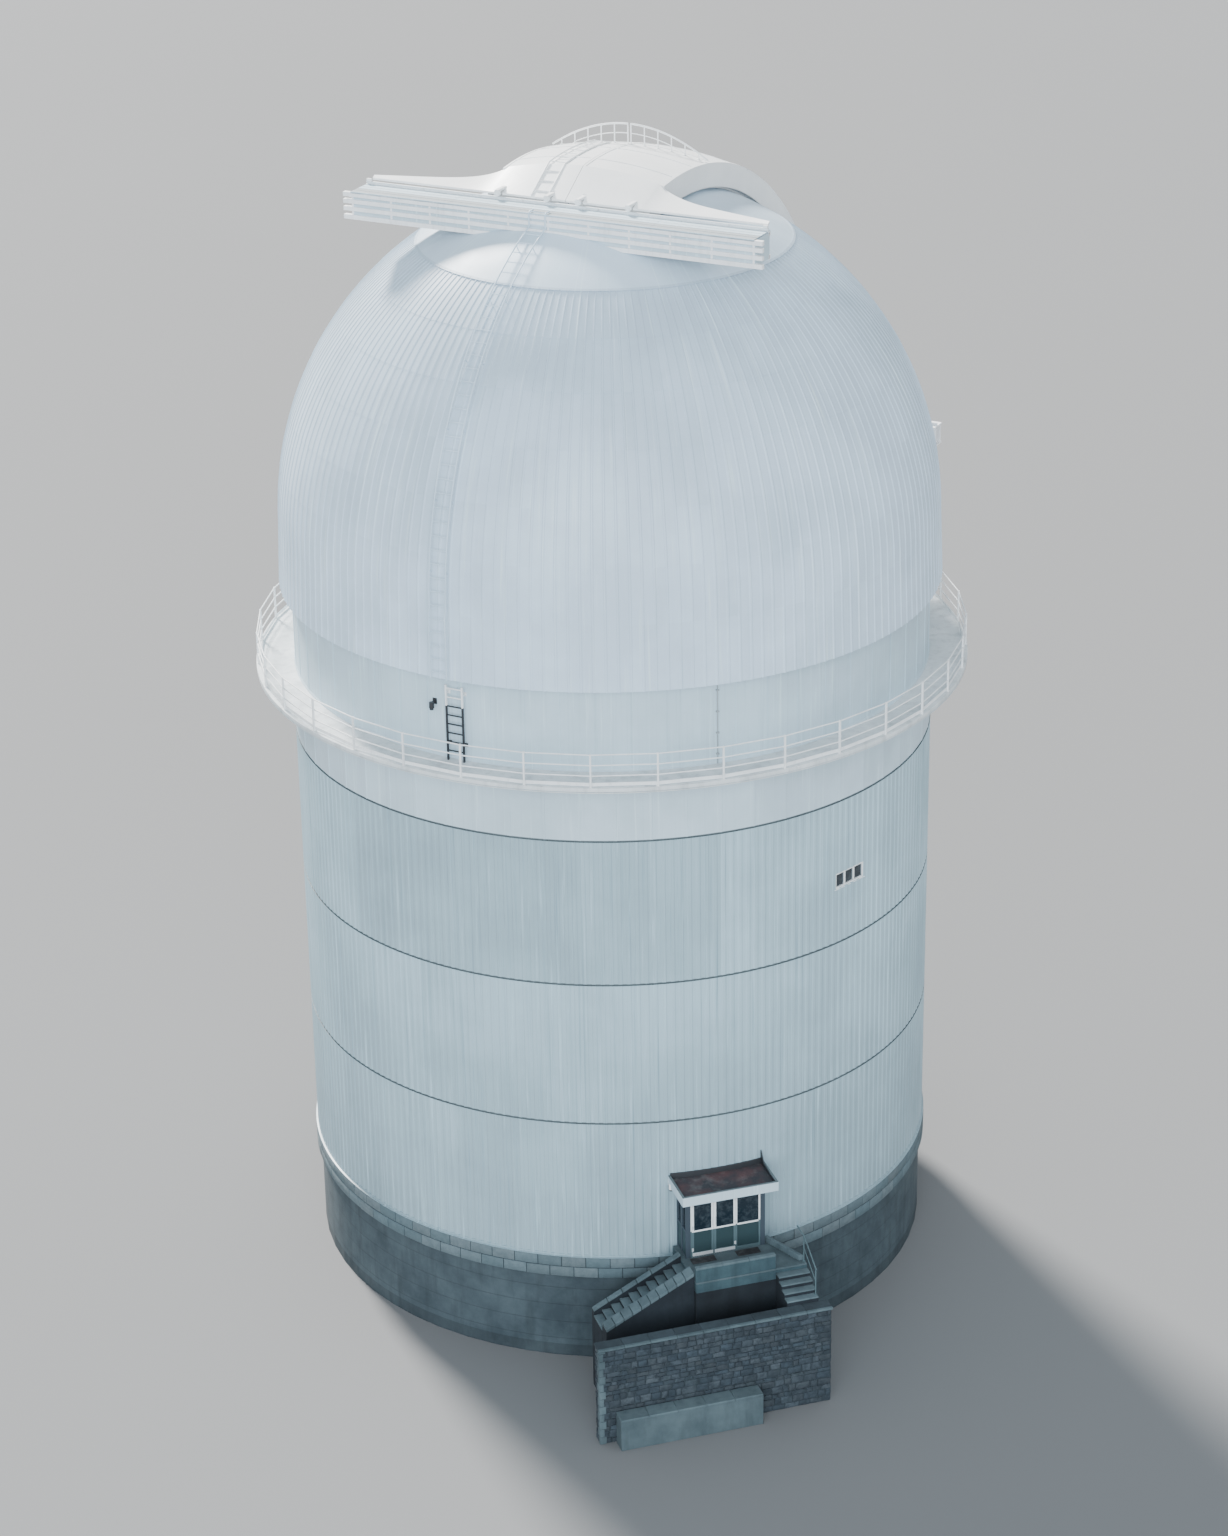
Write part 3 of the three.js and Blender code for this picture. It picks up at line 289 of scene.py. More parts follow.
class Look:
    """A node material whose colour, roughness and height are worked out from the place on the object."""

    def __init__(self, name, metallic=0.0):
        self.material = bpy.data.materials.new(name)
        self.material.use_nodes = True
        self.tree = self.material.node_tree
        self.tree.nodes.clear()
        self.shader = self.tree.nodes.new("ShaderNodeBsdfPrincipled")
        self.shader.inputs["Metallic"].default_value = metallic
        output = self.tree.nodes.new("ShaderNodeOutputMaterial")
        self.tree.links.new(self.shader.outputs[0], output.inputs[0])
        self.place = self.tree.nodes.new("ShaderNodeTexCoord").outputs["Object"]

    def put(self, socket, value):
        if isinstance(value, bpy.types.NodeSocket):
            self.tree.links.new(value, socket)
        elif socket.type == "RGBA":
            socket.default_value = (*value, 1)
        else:
            socket.default_value = value

    def node(self, kind, *values, out=0, **settings):
        node = self.tree.nodes.new(kind)
        for key, value in settings.items():
            setattr(node, key, value)
        for socket, value in zip(node.inputs, values):
            if value is not None:
                self.put(socket, value)
        return node.outputs[out]

    def math(self, operation, a, b=0.0):
        return self.node("ShaderNodeMath", a, b, operation=operation)

    def times(self, a, b):
        return self.math("MULTIPLY", a, b)

    def plus(self, a, b):
        return self.math("ADD", a, b)

    def vector(self, operation, a, b=(0, 0, 0)):
        return self.node("ShaderNodeVectorMath", a, b, operation=operation)

    def stretched(self, x, y, z):
        return self.vector("MULTIPLY", self.place, (x, y, z))

    def noise(self, scale, detail=4.0, place=None, rough=0.55):
        return self.node("ShaderNodeTexNoise", place or self.place, None, scale, detail, rough)

    def ramp(self, value, low, high, to_low=0.0, to_high=1.0):
        return self.node("ShaderNodeMapRange", value, low, high, to_low, to_high)

    def mix(self, share, a, b, blend="MIX"):
        unused = (None,) * 5
        return self.node("ShaderNodeMix", share, *unused, a, b, out=2, data_type="RGBA", blend_type=blend)

    def lit(self, colour, light):
        """The colour times a lightness."""
        return self.mix(1.0, colour, self.node("ShaderNodeCombineColor", light, light, light), "MULTIPLY")

    def tone(self):
        return self.node("ShaderNodeAttribute", attribute_name="tone", attribute_type="GEOMETRY", out=2)

    def height(self):
        return self.node("ShaderNodeSeparateXYZ", self.place, out=2)

    def meridian(self, wave, run):
        """Places that vary with compass direction, and slowly with height, for streaks on a round wall."""
        unit = self.vector("NORMALIZE", self.stretched(1, 1, 0))
        wide = self.vector("MULTIPLY", unit, (wave, wave, 0))
        return self.vector("ADD", wide, self.stretched(0, 0, run))

    def finish(self, colour, roughness, height=None, depth=0.01, strength=1.0):
        self.put(self.shader.inputs["Base Color"], colour)
        self.put(self.shader.inputs["Roughness"], roughness)
        if height is not None:
            bump = self.tree.nodes.new("ShaderNodeBump")
            bump.inputs["Strength"].default_value = strength
            bump.inputs["Distance"].default_value = depth
            self.put(bump.inputs["Height"], height)
            self.put(self.shader.inputs["Normal"], bump.outputs[0])
        return self.material


def sheet_look(name, clean, dirty, streak, rough, patch=0.5, height_ramp=(0.0, 1.0, 1.0, 1.0)):
    """Painted sheet with rain streaks, a tone for each panel, blotches, and a lightness that changes with
    height.

    The height ramp is two heights and how light the sheet is at each.
    """
    look = Look(name)
    fine = look.noise(1.0, 5.0, look.meridian(150.0, 0.22), 0.6)
    broad = look.noise(1.0, 3.0, look.meridian(38.0, 0.12), 0.6)
    cloud = look.noise(0.35, 4.0)
    speck = look.noise(9.0, 6.0, rough=0.7)
    grime = look.times(look.times(look.ramp(fine, 0.52, 0.78), look.ramp(broad, 0.35, 0.68)), streak)
    base = look.mix(look.ramp(cloud, 0.40, 0.62), clean, shade(clean, 0.87))
    panel = look.times(look.ramp(look.tone(), 0.0, 1.0, 1.0 - patch * 0.28, 1.0 + patch * 0.10),
                       look.ramp(look.height(), *height_ramp))
    worn = look.mix(grime, look.lit(base, panel), dirty)
    light = look.times(look.ramp(look.noise(1.0, 4.0, look.meridian(95.0, 0.3)), 0.58, 0.74), 0.42)
    faded = look.mix(light, worn, tuple(min(c * 1.35, 0.95) for c in clean))
    colour = look.mix(look.ramp(speck, 0.66, 0.74, 0.0, 0.22), faded, dirty)
    height = look.plus(look.times(broad, 0.6), look.times(speck, 0.25))
    return look.finish(colour, look.ramp(cloud, 0.3, 0.7, rough, rough + 0.16), height, 0.012, 0.35)


def paint_look(name, clean, chip, rough=0.45):
    """Brushed paint with grime in patches and chips down to what lies under it."""
    look = Look(name)
    cloud = look.noise(1.3, 5.0)
    chips = look.ramp(look.noise(14.0, 8.0, rough=0.72), 0.66, 0.70)
    drip = look.ramp(look.noise(1.0, 4.0, look.stretched(7, 7, 0.7)), 0.52, 0.72)
    base = look.mix(look.ramp(cloud, 0.35, 0.7, 0.0, 0.6), clean, shade(clean, 0.82))
    stained = look.mix(look.times(drip, 0.28), base, shade(clean, 0.55))
    colour = look.mix(look.times(chips, 0.8), stained, chip)
    roughness = look.plus(look.ramp(cloud, 0.3, 0.7, rough, rough + 0.15), look.times(chips, 0.2))
    height = look.math("SUBTRACT", look.times(cloud, 0.2), chips)
    return look.finish(colour, roughness, height, 0.003, 0.5)


def galvanised_look():
    look = Look("galvanised_steel", 0.35)
    crystals = look.node("ShaderNodeTexVoronoi", look.place, None, 34.0, out=1)
    spangle = look.node("ShaderNodeSeparateXYZ", crystals)
    base = look.mix(look.ramp(spangle, 0.0, 1.0, 0.0, 0.5), (0.78, 0.81, 0.83), (0.62, 0.65, 0.67))
    stain = look.ramp(look.noise(6.0, 7.0, look.stretched(1, 1, 0.3), 0.7), 0.60, 0.72, 0.0, 0.5)
    colour = look.mix(stain, base, (0.30, 0.24, 0.19))
    return look.finish(colour, look.ramp(look.noise(2.5, 5.0), 0.3, 0.7, 0.36, 0.58), spangle, 0.001, 0.25)


def cement_look(name, light, dark, joint=0.0):
    """Cement render or concrete with blotches, pores and rain stains, and board marks where it has joints."""
    look = Look(name)
    cloud = look.noise(0.9, 6.0, rough=0.62)
    pores = look.times(look.ramp(look.noise(38.0, 4.0, rough=0.7), 0.62, 0.72), 0.5)
    stains = look.ramp(look.noise(1.0, 5.0, look.stretched(3.2, 3.2, 0.55), 0.6), 0.48, 0.72)
    base = look.mix(look.ramp(cloud, 0.32, 0.68), light, dark)
    stained = look.mix(look.times(stains, 0.45), base, shade(dark, 0.55))
    toned = look.lit(stained, look.ramp(look.tone(), 0.0, 1.0, 0.72, 1.28))
    colour = look.mix(pores, toned, shade(dark, 0.4))
    height = look.plus(look.times(look.noise(90.0, 3.0), 0.3), look.times(cloud, 0.6))
    if joint:
        lines = look.math("FRACT", look.math("DIVIDE", look.height(), joint))
        board = look.ramp(look.math("ABSOLUTE", look.math("SUBTRACT", lines, 0.5)), 0.46, 0.49)
        colour = look.mix(look.times(board, 0.35), colour, shade(dark, 0.45))
        height = look.math("SUBTRACT", height, board)
    height = look.math("SUBTRACT", height, pores)
    return look.finish(colour, look.ramp(cloud, 0.3, 0.7, 0.78, 0.94), height, 0.006, 0.7)


def stone_look(name, cool, warm, moss, contrast):
    """Rough-faced stone whose tone changes from block to block."""
    look = Look(name)
    tone = look.tone()
    coarse = look.noise(4.5, 8.0, rough=0.68)
    grit = look.noise(42.0, 5.0, rough=0.7)
    light = look.math("FRACT", look.times(tone, 7.31))
    light = look.ramp(light, 0.0, 1.0, 1.0 - 0.38 * contrast, 1.0 + 0.30 * contrast)
    toned = look.lit(look.mix(tone, cool, warm), light)
    veined = look.mix(look.ramp(coarse, 0.42, 0.62, 0.0, contrast), toned, shade(cool, 0.55))
    growth = look.ramp(look.noise(2.1, 6.0, rough=0.65), 0.56, 0.68, 0.0, 0.55 * contrast)
    colour = look.mix(look.ramp(grit, 0.60, 0.75, 0.0, 0.4), look.mix(growth, veined, moss), shade(cool, 1.9))
    height = look.plus(coarse, look.times(grit, 0.35))
    return look.finish(colour, look.ramp(coarse, 0.3, 0.7, 0.80, 0.96), height, 0.02, 0.8)


def felt_look():
    look = Look("roof_felt")
    grit = look.noise(120.0, 3.0, rough=0.8)
    cloud = look.noise(2.2, 6.0, rough=0.65)
    red = look.ramp(look.noise(1.3, 4.0), 0.44, 0.66)
    base = look.mix(red, (0.030, 0.030, 0.036), (0.085, 0.040, 0.042))
    dusty = look.mix(look.ramp(cloud, 0.50, 0.72, 0.0, 0.55), base, (0.16, 0.16, 0.16))
    colour = look.mix(look.ramp(grit, 0.58, 0.72, 0.0, 0.35), dusty, (0.22, 0.22, 0.23))
    height = look.plus(grit, look.times(cloud, 1.5))
    return look.finish(colour, look.ramp(cloud, 0.3, 0.7, 0.82, 0.95), height, 0.006, 0.6)


def glass_look():
    """Dark glass over an unlit room, with dust on it."""
    look = Look("dark_glass")
    dust = look.noise(5.0, 6.0, rough=0.7)
    colour = look.mix(look.ramp(dust, 0.45, 0.75, 0.0, 0.22), (0.012, 0.020, 0.028), (0.20, 0.24, 0.26))
    for socket, value in (("IOR", 1.5), ("Coat Weight", 0.15), ("Coat Roughness", 0.05)):
        look.shader.inputs[socket].default_value = value
    return look.finish(colour, look.ramp(dust, 0.4, 0.75, 0.05, 0.30), look.noise(1.6, 2.0), 0.01, 0.12)


def mat_look():
    look = Look("rubber_mat")
    ribs = look.node("ShaderNodeTexWave", look.place, 18.0, 0.4)
    cloud = look.noise(6.0, 5.0)
    colour = look.mix(look.ramp(cloud, 0.4, 0.7), (0.018, 0.019, 0.022), (0.065, 0.068, 0.072))
    return look.finish(colour, look.ramp(cloud, 0.3, 0.7, 0.75, 0.92), ribs, 0.004, 0.7)


def floor_look():
    look = Look("studio_floor")
    return look.finish(look.mix(look.noise(0.02, 3.0), (0.170, 0.174, 0.178), (0.181, 0.185, 0.189)), 0.9)


# The tower's sheet gets darker towards the bottom.
SHEET = sheet_look("tower_sheet", (0.42, 0.57, 0.64), (0.14, 0.25, 0.31), 0.85, 0.42, 1.0,
                   height_ramp=(3.0, 12.0, 0.70, 1.0))
BAND = sheet_look("band_sheet", (0.56, 0.685, 0.76), (0.30, 0.41, 0.47), 0.50, 0.45, 0.3)
DRUM = sheet_look("drum_sheet", (0.55, 0.69, 0.77), (0.27, 0.38, 0.44), 0.70, 0.48)
# The dome's skin and cap are white sheet like the shutters, coloured darker and bluer than the shutters as
# painted shade. The skin's height ramp adds painted light near its foot and painted shade towards its top.
SKIN = sheet_look("dome_sheet", (0.59, 0.725, 0.85), (0.35, 0.48, 0.60), 0.30, 0.34, 0.28,
                  height_ramp=(23.0, 31.0, 1.07, 0.86))
CAP = sheet_look("crown_sheet", (0.60, 0.735, 0.85), (0.36, 0.49, 0.60), 0.22, 0.30, 0.3)
SHUTTER = sheet_look("shutter_sheet", (0.92, 0.93, 0.93), (0.60, 0.63, 0.66), 0.22, 0.32, 0.25)
PAINT = paint_look("beam_paint", (0.94, 0.94, 0.95), (0.45, 0.41, 0.38))
WHITE = paint_look("white_paint", (0.88, 0.89, 0.89), (0.46, 0.44, 0.41))
GREY = paint_look("grey_paint", (0.34, 0.38, 0.40), (0.52, 0.53, 0.52))
SLATE = paint_look("dark_blue_paint", (0.045, 0.062, 0.080), (0.16, 0.18, 0.19))
TEAL = paint_look("teal_paint", (0.022, 0.048, 0.055), (0.10, 0.14, 0.15))
DIM_TEAL = paint_look("dim_teal", (0.085, 0.135, 0.150), (0.20, 0.26, 0.27))
BLACK = paint_look("black_paint", (0.022, 0.024, 0.028), (0.20, 0.13, 0.09), 0.40)
# Dark paint: painted shade in the recesses between the tiers, and the porch fascia's capping.
DARK_TRIM = paint_look("dark_trim", (0.12, 0.15, 0.16), (0.24, 0.25, 0.26), 0.6)
STEEL = galvanised_look()
CONCRETE = cement_look("concrete", (0.060, 0.085, 0.098), (0.032, 0.048, 0.058), 0.6)
SCREED = cement_look("floor_screed", (0.46, 0.47, 0.46), (0.33, 0.34, 0.34))
DECK = cement_look("deck_paint", (0.76, 0.79, 0.80), (0.60, 0.64, 0.65))
RENDER = cement_look("cement_render", (0.048, 0.092, 0.108), (0.025, 0.050, 0.062))
# Render coloured very dark as painted shade, on the landing's lower faces, the stairs' cores and the flight
# walls.
RENDER_SHADE = cement_look("render_painted_shade", (0.010, 0.016, 0.022), (0.005, 0.008, 0.012))
COPING = cement_look("light_coping", (0.100, 0.140, 0.155), (0.058, 0.086, 0.098))
# Dark mortar, also used as painted shade on the stone wall's top.
MORTAR_AND_SHADE = cement_look("mortar", (0.034, 0.048, 0.058), (0.020, 0.030, 0.037))
RUBBLE = stone_look("rubble_stone", (0.031, 0.046, 0.060), (0.052, 0.064, 0.074), (0.023, 0.036, 0.039), 0.8)
BLOCK = stone_look("plinth_stone", (0.095, 0.140, 0.160), (0.120, 0.152, 0.166), (0.062, 0.092, 0.094), 0.35)
FELT = felt_look()
GLASS = glass_look()
RUBBER = mat_look()


# Walls of the tower

DOOR_LOW, DOOR_HIGH = local_box("entrance_frame", ENTRANCE)
DOOR_HEAD = DOOR_LOW.z + 2.04
WINDOW_LOW, WINDOW_HIGH = local_box("window_frame", about_z(WINDOW_ANGLE))
DOORWAY = (ENTRANCE_ANGLE, DOOR_HIGH.x, DOOR_LOW.z - 0.25, DOOR_HEAD)
WINDOW = (WINDOW_ANGLE, WINDOW_HIGH.x, WINDOW_LOW.z, WINDOW_HIGH.z)
JAMB_MARGIN = math.radians(0.2)  # a column nearer to a jamb than this is left out
RIBS = 240
PANELS = 60
BACK = WALL_OUT + EDGE           # the back of whatever is fixed to the wall


def apart(a, b):
    """The angle from b to a, between minus and plus half a turn."""
    return (a - b + math.pi) % math.tau - math.pi


def pierced_ring(piece, columns, levels, holes=(), look_at=None, tone_at=None):
    """A wall of columns (outer point, inner point, angle), with holes of (angle, half width, foot, head).

    Its look can depend on the height and its tone on the angle.
    """
    n = len(columns)
    for z in levels:
        for side in (0, 1):
            piece.points += [(*column[side], z) for column in columns]

    def is_hole(i, j):
        if not 0 <= j < len(levels) - 1:
            return True
        a, b = columns[i % n][2], columns[(i + 1) % n][2]
        middle = (a + b) / 2 if b > a else (a + b) / 2 + math.pi
        z = (levels[j] + levels[j + 1]) / 2
        return any(abs(apart(middle, angle)) < math.asin(half / WALL_OUT) and foot < z < head
                   for angle, half, foot, head in holes)

    for j in range(len(levels) - 1):
        if look_at:
            piece.use(look_at((levels[j] + levels[j + 1]) / 2))
        for i in range(n):
            if is_hole(i, j):
                continue
            corners = ((i, j), (i + 1, j), (i + 1, j + 1), (i, j + 1))
            outer = [row * 2 * n + k % n for k, row in corners]
            inner = [k + n for k in outer]
            faces = [outer, inner[::-1]]
            for k, beyond in enumerate(((i, j - 1), (i + 1, j), (i, j + 1), (i - 1, j))):
                if is_hole(*beyond):
                    m = (k + 1) % 4
                    faces.append([outer[k], inner[k], inner[m], outer[m]])
            piece.faces += faces
            piece.face_looks += [piece.look] * len(faces)
            piece.face_tones += [tone_at(columns[i][2]) if tone_at else 0.5] * len(faces)


def wall_columns(profile, inner_radius, holes=()):
    """Columns at places of (angle, outer radius), with a pair of parallel jambs at each hole."""
    outer_radius = max(r for _, r in profile)
    columns = []
    spans = []
    for angle, half, _, _ in holes:
        reach = math.asin(half / WALL_OUT)
        spans.append((angle, reach))
        for x in (-half, half):
            ends = [about_z(angle) @ Vector((x, -on_sphere(r, x), 0)) for r in (outer_radius, inner_radius)]
            columns.append((ends[0].xy, ends[1].xy, (angle + math.copysign(reach, x)) % math.tau))
    for angle, radius in profile:
        angle %= math.tau
        if all(abs(abs(apart(angle, centre)) - reach) > JAMB_MARGIN for centre, reach in spans):
            columns.append((around(radius, angle)[:2], around(inner_radius, angle)[:2], angle))
    return sorted(columns, key=lambda column: column[2])


def make_tower_wall():
    wall = Piece("tower_wall", CONCRETE)
    holes = (DOORWAY, WINDOW)
    levels = [WALL_LOW.z, *DOORWAY[2:], *WINDOW[2:], DECK_TOP, WALL_TOP]
    columns = wall_columns([(math.tau * i / 180, WALL_OUT) for i in range(180)], WALL_IN, holes)
    pierced_ring(wall, columns, levels, holes, lambda z: DRUM if z > DECK_TOP else CONCRETE)
    segments = [f"wall_segment_{i}" for i in range(1, 5)]
    wall.build("tower", "concrete", *segments, "wall_over_entrance", "wall_below_entrance")


def panel_tones(seed, dark_from=0.0, dark_to=0.0):
    """A tone for each panel round the tower, lower between two angles."""
    draw = random.Random(seed)
    tones = [draw.uniform(0.55, 0.80) for _ in range(PANELS)]
    drop = 0.38

    def tone(angle):
        value = tones[int(angle / math.tau * PANELS) % PANELS]
        return value - drop if dark_from < apart(angle, 0.0) < dark_to else value
    return tone


def make_claddings():
    """Three tiers of sheet with trapezoid ribs, and the band of flat sheet with laps above them."""
    depth = 0.019
    ribs = [((i + share) * math.tau / RIBS, SHEET_OUT - back) for i in range(RIBS)
            for share, back in ((0.0, depth), (0.14, 0.0), (0.48, 0.0), (0.62, depth))]
    tiers = (("lower", 11, (DOORWAY,)), ("middle", 12, ()),
             ("upper", 13, (WINDOW,), math.radians(-52), math.radians(18)))
    for tier, seed, holes, *dark in tiers:
        low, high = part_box(f"{tier}_cladding")
        edges = [z for hole in holes for z in hole[2:] if low.z < z < high.z]
        sheet = Piece(f"{tier}_sheet", SHEET)
        columns = wall_columns(ribs, BACK, holes)
        pierced_ring(sheet, columns, [low.z, *edges, high.z], holes, tone_at=panel_tones(seed, *dark))
        sheet.build("tower", "white_sheet", f"{tier}_cladding", smooth=20)

    low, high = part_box("gallery_band")
    band = Piece("band_sheet", BAND)
    depth = 0.012
    laps = [(math.tau * i / PANELS + turn, SHEET_OUT - back) for i in range(PANELS)
            for turn, back in ((0.0, 0.0), (0.004, 0.0), (0.005, depth), (0.05, depth), (0.099, depth))]
    pierced_ring(band, wall_columns(laps, BACK), [low.z, high.z], tone_at=panel_tones(14))
    band.build("tower", "light_paint", "gallery_band", smooth=20)


def make_tier_joints():
    """A recess between two tiers with a lip over the lower one, both coloured dark as painted shade, and the
    flashing at the sheet's foot.
    """
    recess = Piece("tier_joints", DARK_TRIM)
    tiers = [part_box(node) for node in ("lower_cladding", "middle_cladding", "upper_cladding", "gallery_band")]
    for (_, below), (above, _) in zip(tiers, tiers[1:]):
        foot = below.z
        back = SHEET_OUT - 0.03
        recess.turned(block(WALL_OUT, WALL_OUT + 0.045, foot, above.z))
        recess.turned([(back, foot + 0.001), (SHEET_OUT, foot + 0.001), (SHEET_OUT, foot + 0.006),
                       (back, foot + 0.010)])
    recess.build("tower", "black_paint", smooth=40)

    flashing = Piece("sheet_foot_flashing", SHEET)
    low = tiers[0][0].z
    nose = PLINTH_OUT - 0.005
    face = SHEET_OUT + 0.004
    flashing.turned([(BACK, low - 0.002), (nose, low - 0.002), (nose, low + 0.004), (face, low + 0.018),
                     (face, low + 0.075), (BACK, low + 0.075)])
    reach = DOOR_HIGH.x + 0.15
    gap = knife(ENTRANCE, -reach, reach, -10.2, -9.0, low - 0.1, low + 0.2)
    flashing.build("tower", "light_paint", smooth=30, cut=(gap,))


def make_plinth():
    """Two courses of dressed blocks on a mortar bed, with a weathered top."""
    draw = random.Random(21)
    plinth = Piece("plinth_blocks", MORTAR_AND_SHADE)
    bed = PLINTH_OUT - 0.03
    foot, head = PLINTH_LOW.z, PLINTH_HIGH.z
    plinth.turned([(BACK, foot), (bed, foot), (bed, head - 0.02), (BACK, head)])
    blocks = 84
    joint = 0.012
    for course, (foot, head) in enumerate(cells(foot, head, 2, joint)):
        for i in range(blocks):
            start = (i + 0.5 * course) * math.tau / blocks + joint / PLINTH_OUT
            end = start + math.tau / blocks - 2 * joint / PLINTH_OUT
            plinth.use(BLOCK, draw.random())
            face = PLINTH_OUT - draw.uniform(0.0, 0.012)
            plinth.arc([(bed - 0.02, foot), (face - 0.012, foot), (face, foot + 0.014), (face, head - 0.014),
                        (face - 0.012, head), (bed - 0.02, head)], start, end, 3)
    plinth.build("tower", "rubble", "plinth_band", smooth=50)


def make_drum():
    """Battens over the drum's sheet joints, a drip edge at its foot, and a dark conduit."""
    trim = Piece("drum_battens", DRUM)
    draw = random.Random(31)
    half = 0.022 / WALL_OUT
    batten = block(WALL_OUT - 0.01, WALL_OUT + 0.012, DECK_TOP + 0.08, WALL_TOP - 0.16)
    for i in range(PANELS):
        angle = math.tau * (i + 0.5) / PANELS
        trim.use(DRUM, draw.uniform(0.2, 0.9))
        trim.arc(batten, angle - half, angle + half)
    trim.use(BAND)
    inner, lip = WALL_OUT - 0.01, WALL_OUT + 0.03
    trim.turned([(inner, DECK_TOP), (lip, DECK_TOP), (lip, DECK_TOP + 0.03), (inner, DECK_TOP + 0.09)])
    trim.build("tower", "white_sheet", smooth=30)

    conduit = Piece("drum_conduit", GREY)
    angle = math.radians(17.6)
    radius = WALL_OUT + 0.035
    conduit.tube([around(radius, angle, z) for z in (DECK_TOP + 0.002, DOME_EDGE - 0.02)], 0.016)
    for z in spread(DECK_TOP + 0.3, DOME_EDGE - 0.3, 3):
        clip = block(WALL_OUT - 0.004, radius + 0.03, z - 0.02, z + 0.02)
        conduit.arc(clip, angle - 0.0045, angle + 0.0045)
    conduit.build("tower", "galvanised", bevel=0.003)


# Gallery

POSTS = 36
POST_ANGLE = math.radians(6.5)
RAIL_RADIUS = 10.84
LADDER_HALF = 0.26


def make_deck():
    """The gallery's slab with a drip groove under its edge, and a light strip round it."""
    deck = Piece("gallery_slab", DECK)
    foot, top, out = DECK_FOOT, DECK_TOP, DECK_OUT
    deck.turned([(BACK, foot), (out - 0.09, foot), (out - 0.08, foot + 0.015), (out - 0.07, foot),
                 (out - 0.006, foot), (out, foot + 0.006), (out, top - 0.014), (out - 0.012, top - 0.002),
                 (BACK, top)], 240)
    deck.use(BAND)
    deck.turned(block(out - 0.02, out, foot + 0.03, foot + 0.05), 240)
    deck.build("tower", "light_paint", "gallery_deck", smooth=30)


def make_railing(hand, first):
    """Half of the gallery's railing: posts on base plates, three round rails and a toe board."""
    railing = Piece(f"railing_{hand}", WHITE)
    step = math.tau / POSTS
    angles = [POST_ANGLE + (first + i) * step for i in range(POSTS // 2)]
    half = 0.027
    y = -RAIL_RADIUS
    top = DECK_TOP + 1.018
    for angle in angles:
        railing.turn = about_z(angle)
        railing.box(-half, half, y - half, y + half, DECK_TOP + 0.010, top)
        railing.box(-0.048, 0.048, y - 0.048, y + 0.075, DECK_TOP, DECK_TOP + 0.010)
        railing.draw([(-half - 0.004, top), (half + 0.004, top), (0.0, top + 0.010)], "y", y - half, y + half)
        for x in (-0.036, 0.036):
            railing.drum(0.009, (x, y + 0.058, DECK_TOP + 0.014), "z", 0.014, 6)
    railing.turn = None
    outer = RAIL_RADIUS * math.cos(step / 2)
    ends = [(outer, angles[0] - step / 2), *((RAIL_RADIUS, a) for a in angles),
            (outer, angles[-1] + step / 2)]
    for height in (0.355, 0.675, 0.995):
        railing.tube([around(r, a, DECK_TOP + height) for r, a in ends], 0.020, 10)
    toes = [around(r - 0.035, a, DECK_TOP + 0.075) for r, a in ends]
    for a, b in zip(toes, toes[1:]):
        railing.strut(a, b, 0.006, 0.11)
    railing.build("tower", "galvanised", f"gallery_railing_{hand}", bevel=0.004, smooth=40)


def make_gallery_ladder():
    """A ladder from the gallery to the dome's edge, dark below and white at its head."""
    turn = about_z(-SLIT_ANGLE)
    low, high = local_box("gallery_ladder", turn)
    ladder = Piece("drum_ladder", BLACK, turn)
    y = low.y + 0.03
    wall = -WALL_OUT + 0.002
    # Above this height the ladder is white.
    white_from = high.z - 0.64
    for look, foot, head, fixing in ((BLACK, DECK_TOP, white_from, DECK_TOP + 0.48),
                                     (WHITE, white_from, high.z, high.z - 0.27)):
        ladder.use(look)
        for x in (-LADDER_HALF, LADDER_HALF):
            ladder.box(x - 0.026, x + 0.026, y - 0.03, y + 0.03, foot, head)
            ladder.box(x - 0.012, x + 0.012, y, wall, fixing - 0.025, fixing + 0.025)
            ladder.box(x - 0.05, x + 0.05, wall - 0.014, wall, fixing - 0.06, fixing + 0.06)
        for z in spread(DECK_TOP + 0.3, high.z - 0.1, 7):
            if foot < z < head:
                ladder.tube([(-LADDER_HALF, y, z), (LADDER_HALF, y, z)], 0.024)
    ladder.build("tower", "black_paint", "gallery_ladder", bevel=0.003, smooth=40)


def make_lamp(name, angle, z, radius, look):
    """A bulkhead lamp on a short bracket."""
    lamp = Piece(name, look, about_z(angle))
    y = -radius
    lamp.box(-0.07, 0.07, y - 0.02, y + 0.03, z - 0.09, z + 0.09)
    lamp.tube([(0, y, z), (0, y - 0.10, z + 0.02), (0, y - 0.17, z - 0.02)], 0.022)
    lamp.tube([(0, y - 0.17, z + 0.02), (0, y - 0.175, z - 0.05), (0, y - 0.18, z - 0.16)], 0.075, 14)
    lamp.use(GLASS)
    lamp.tube([(0, y - 0.18, z - 0.15), (0, y - 0.183, z - 0.21)], 0.058, 14)
    lamp.build("tower", "black_paint", bevel=0.004, smooth=40)


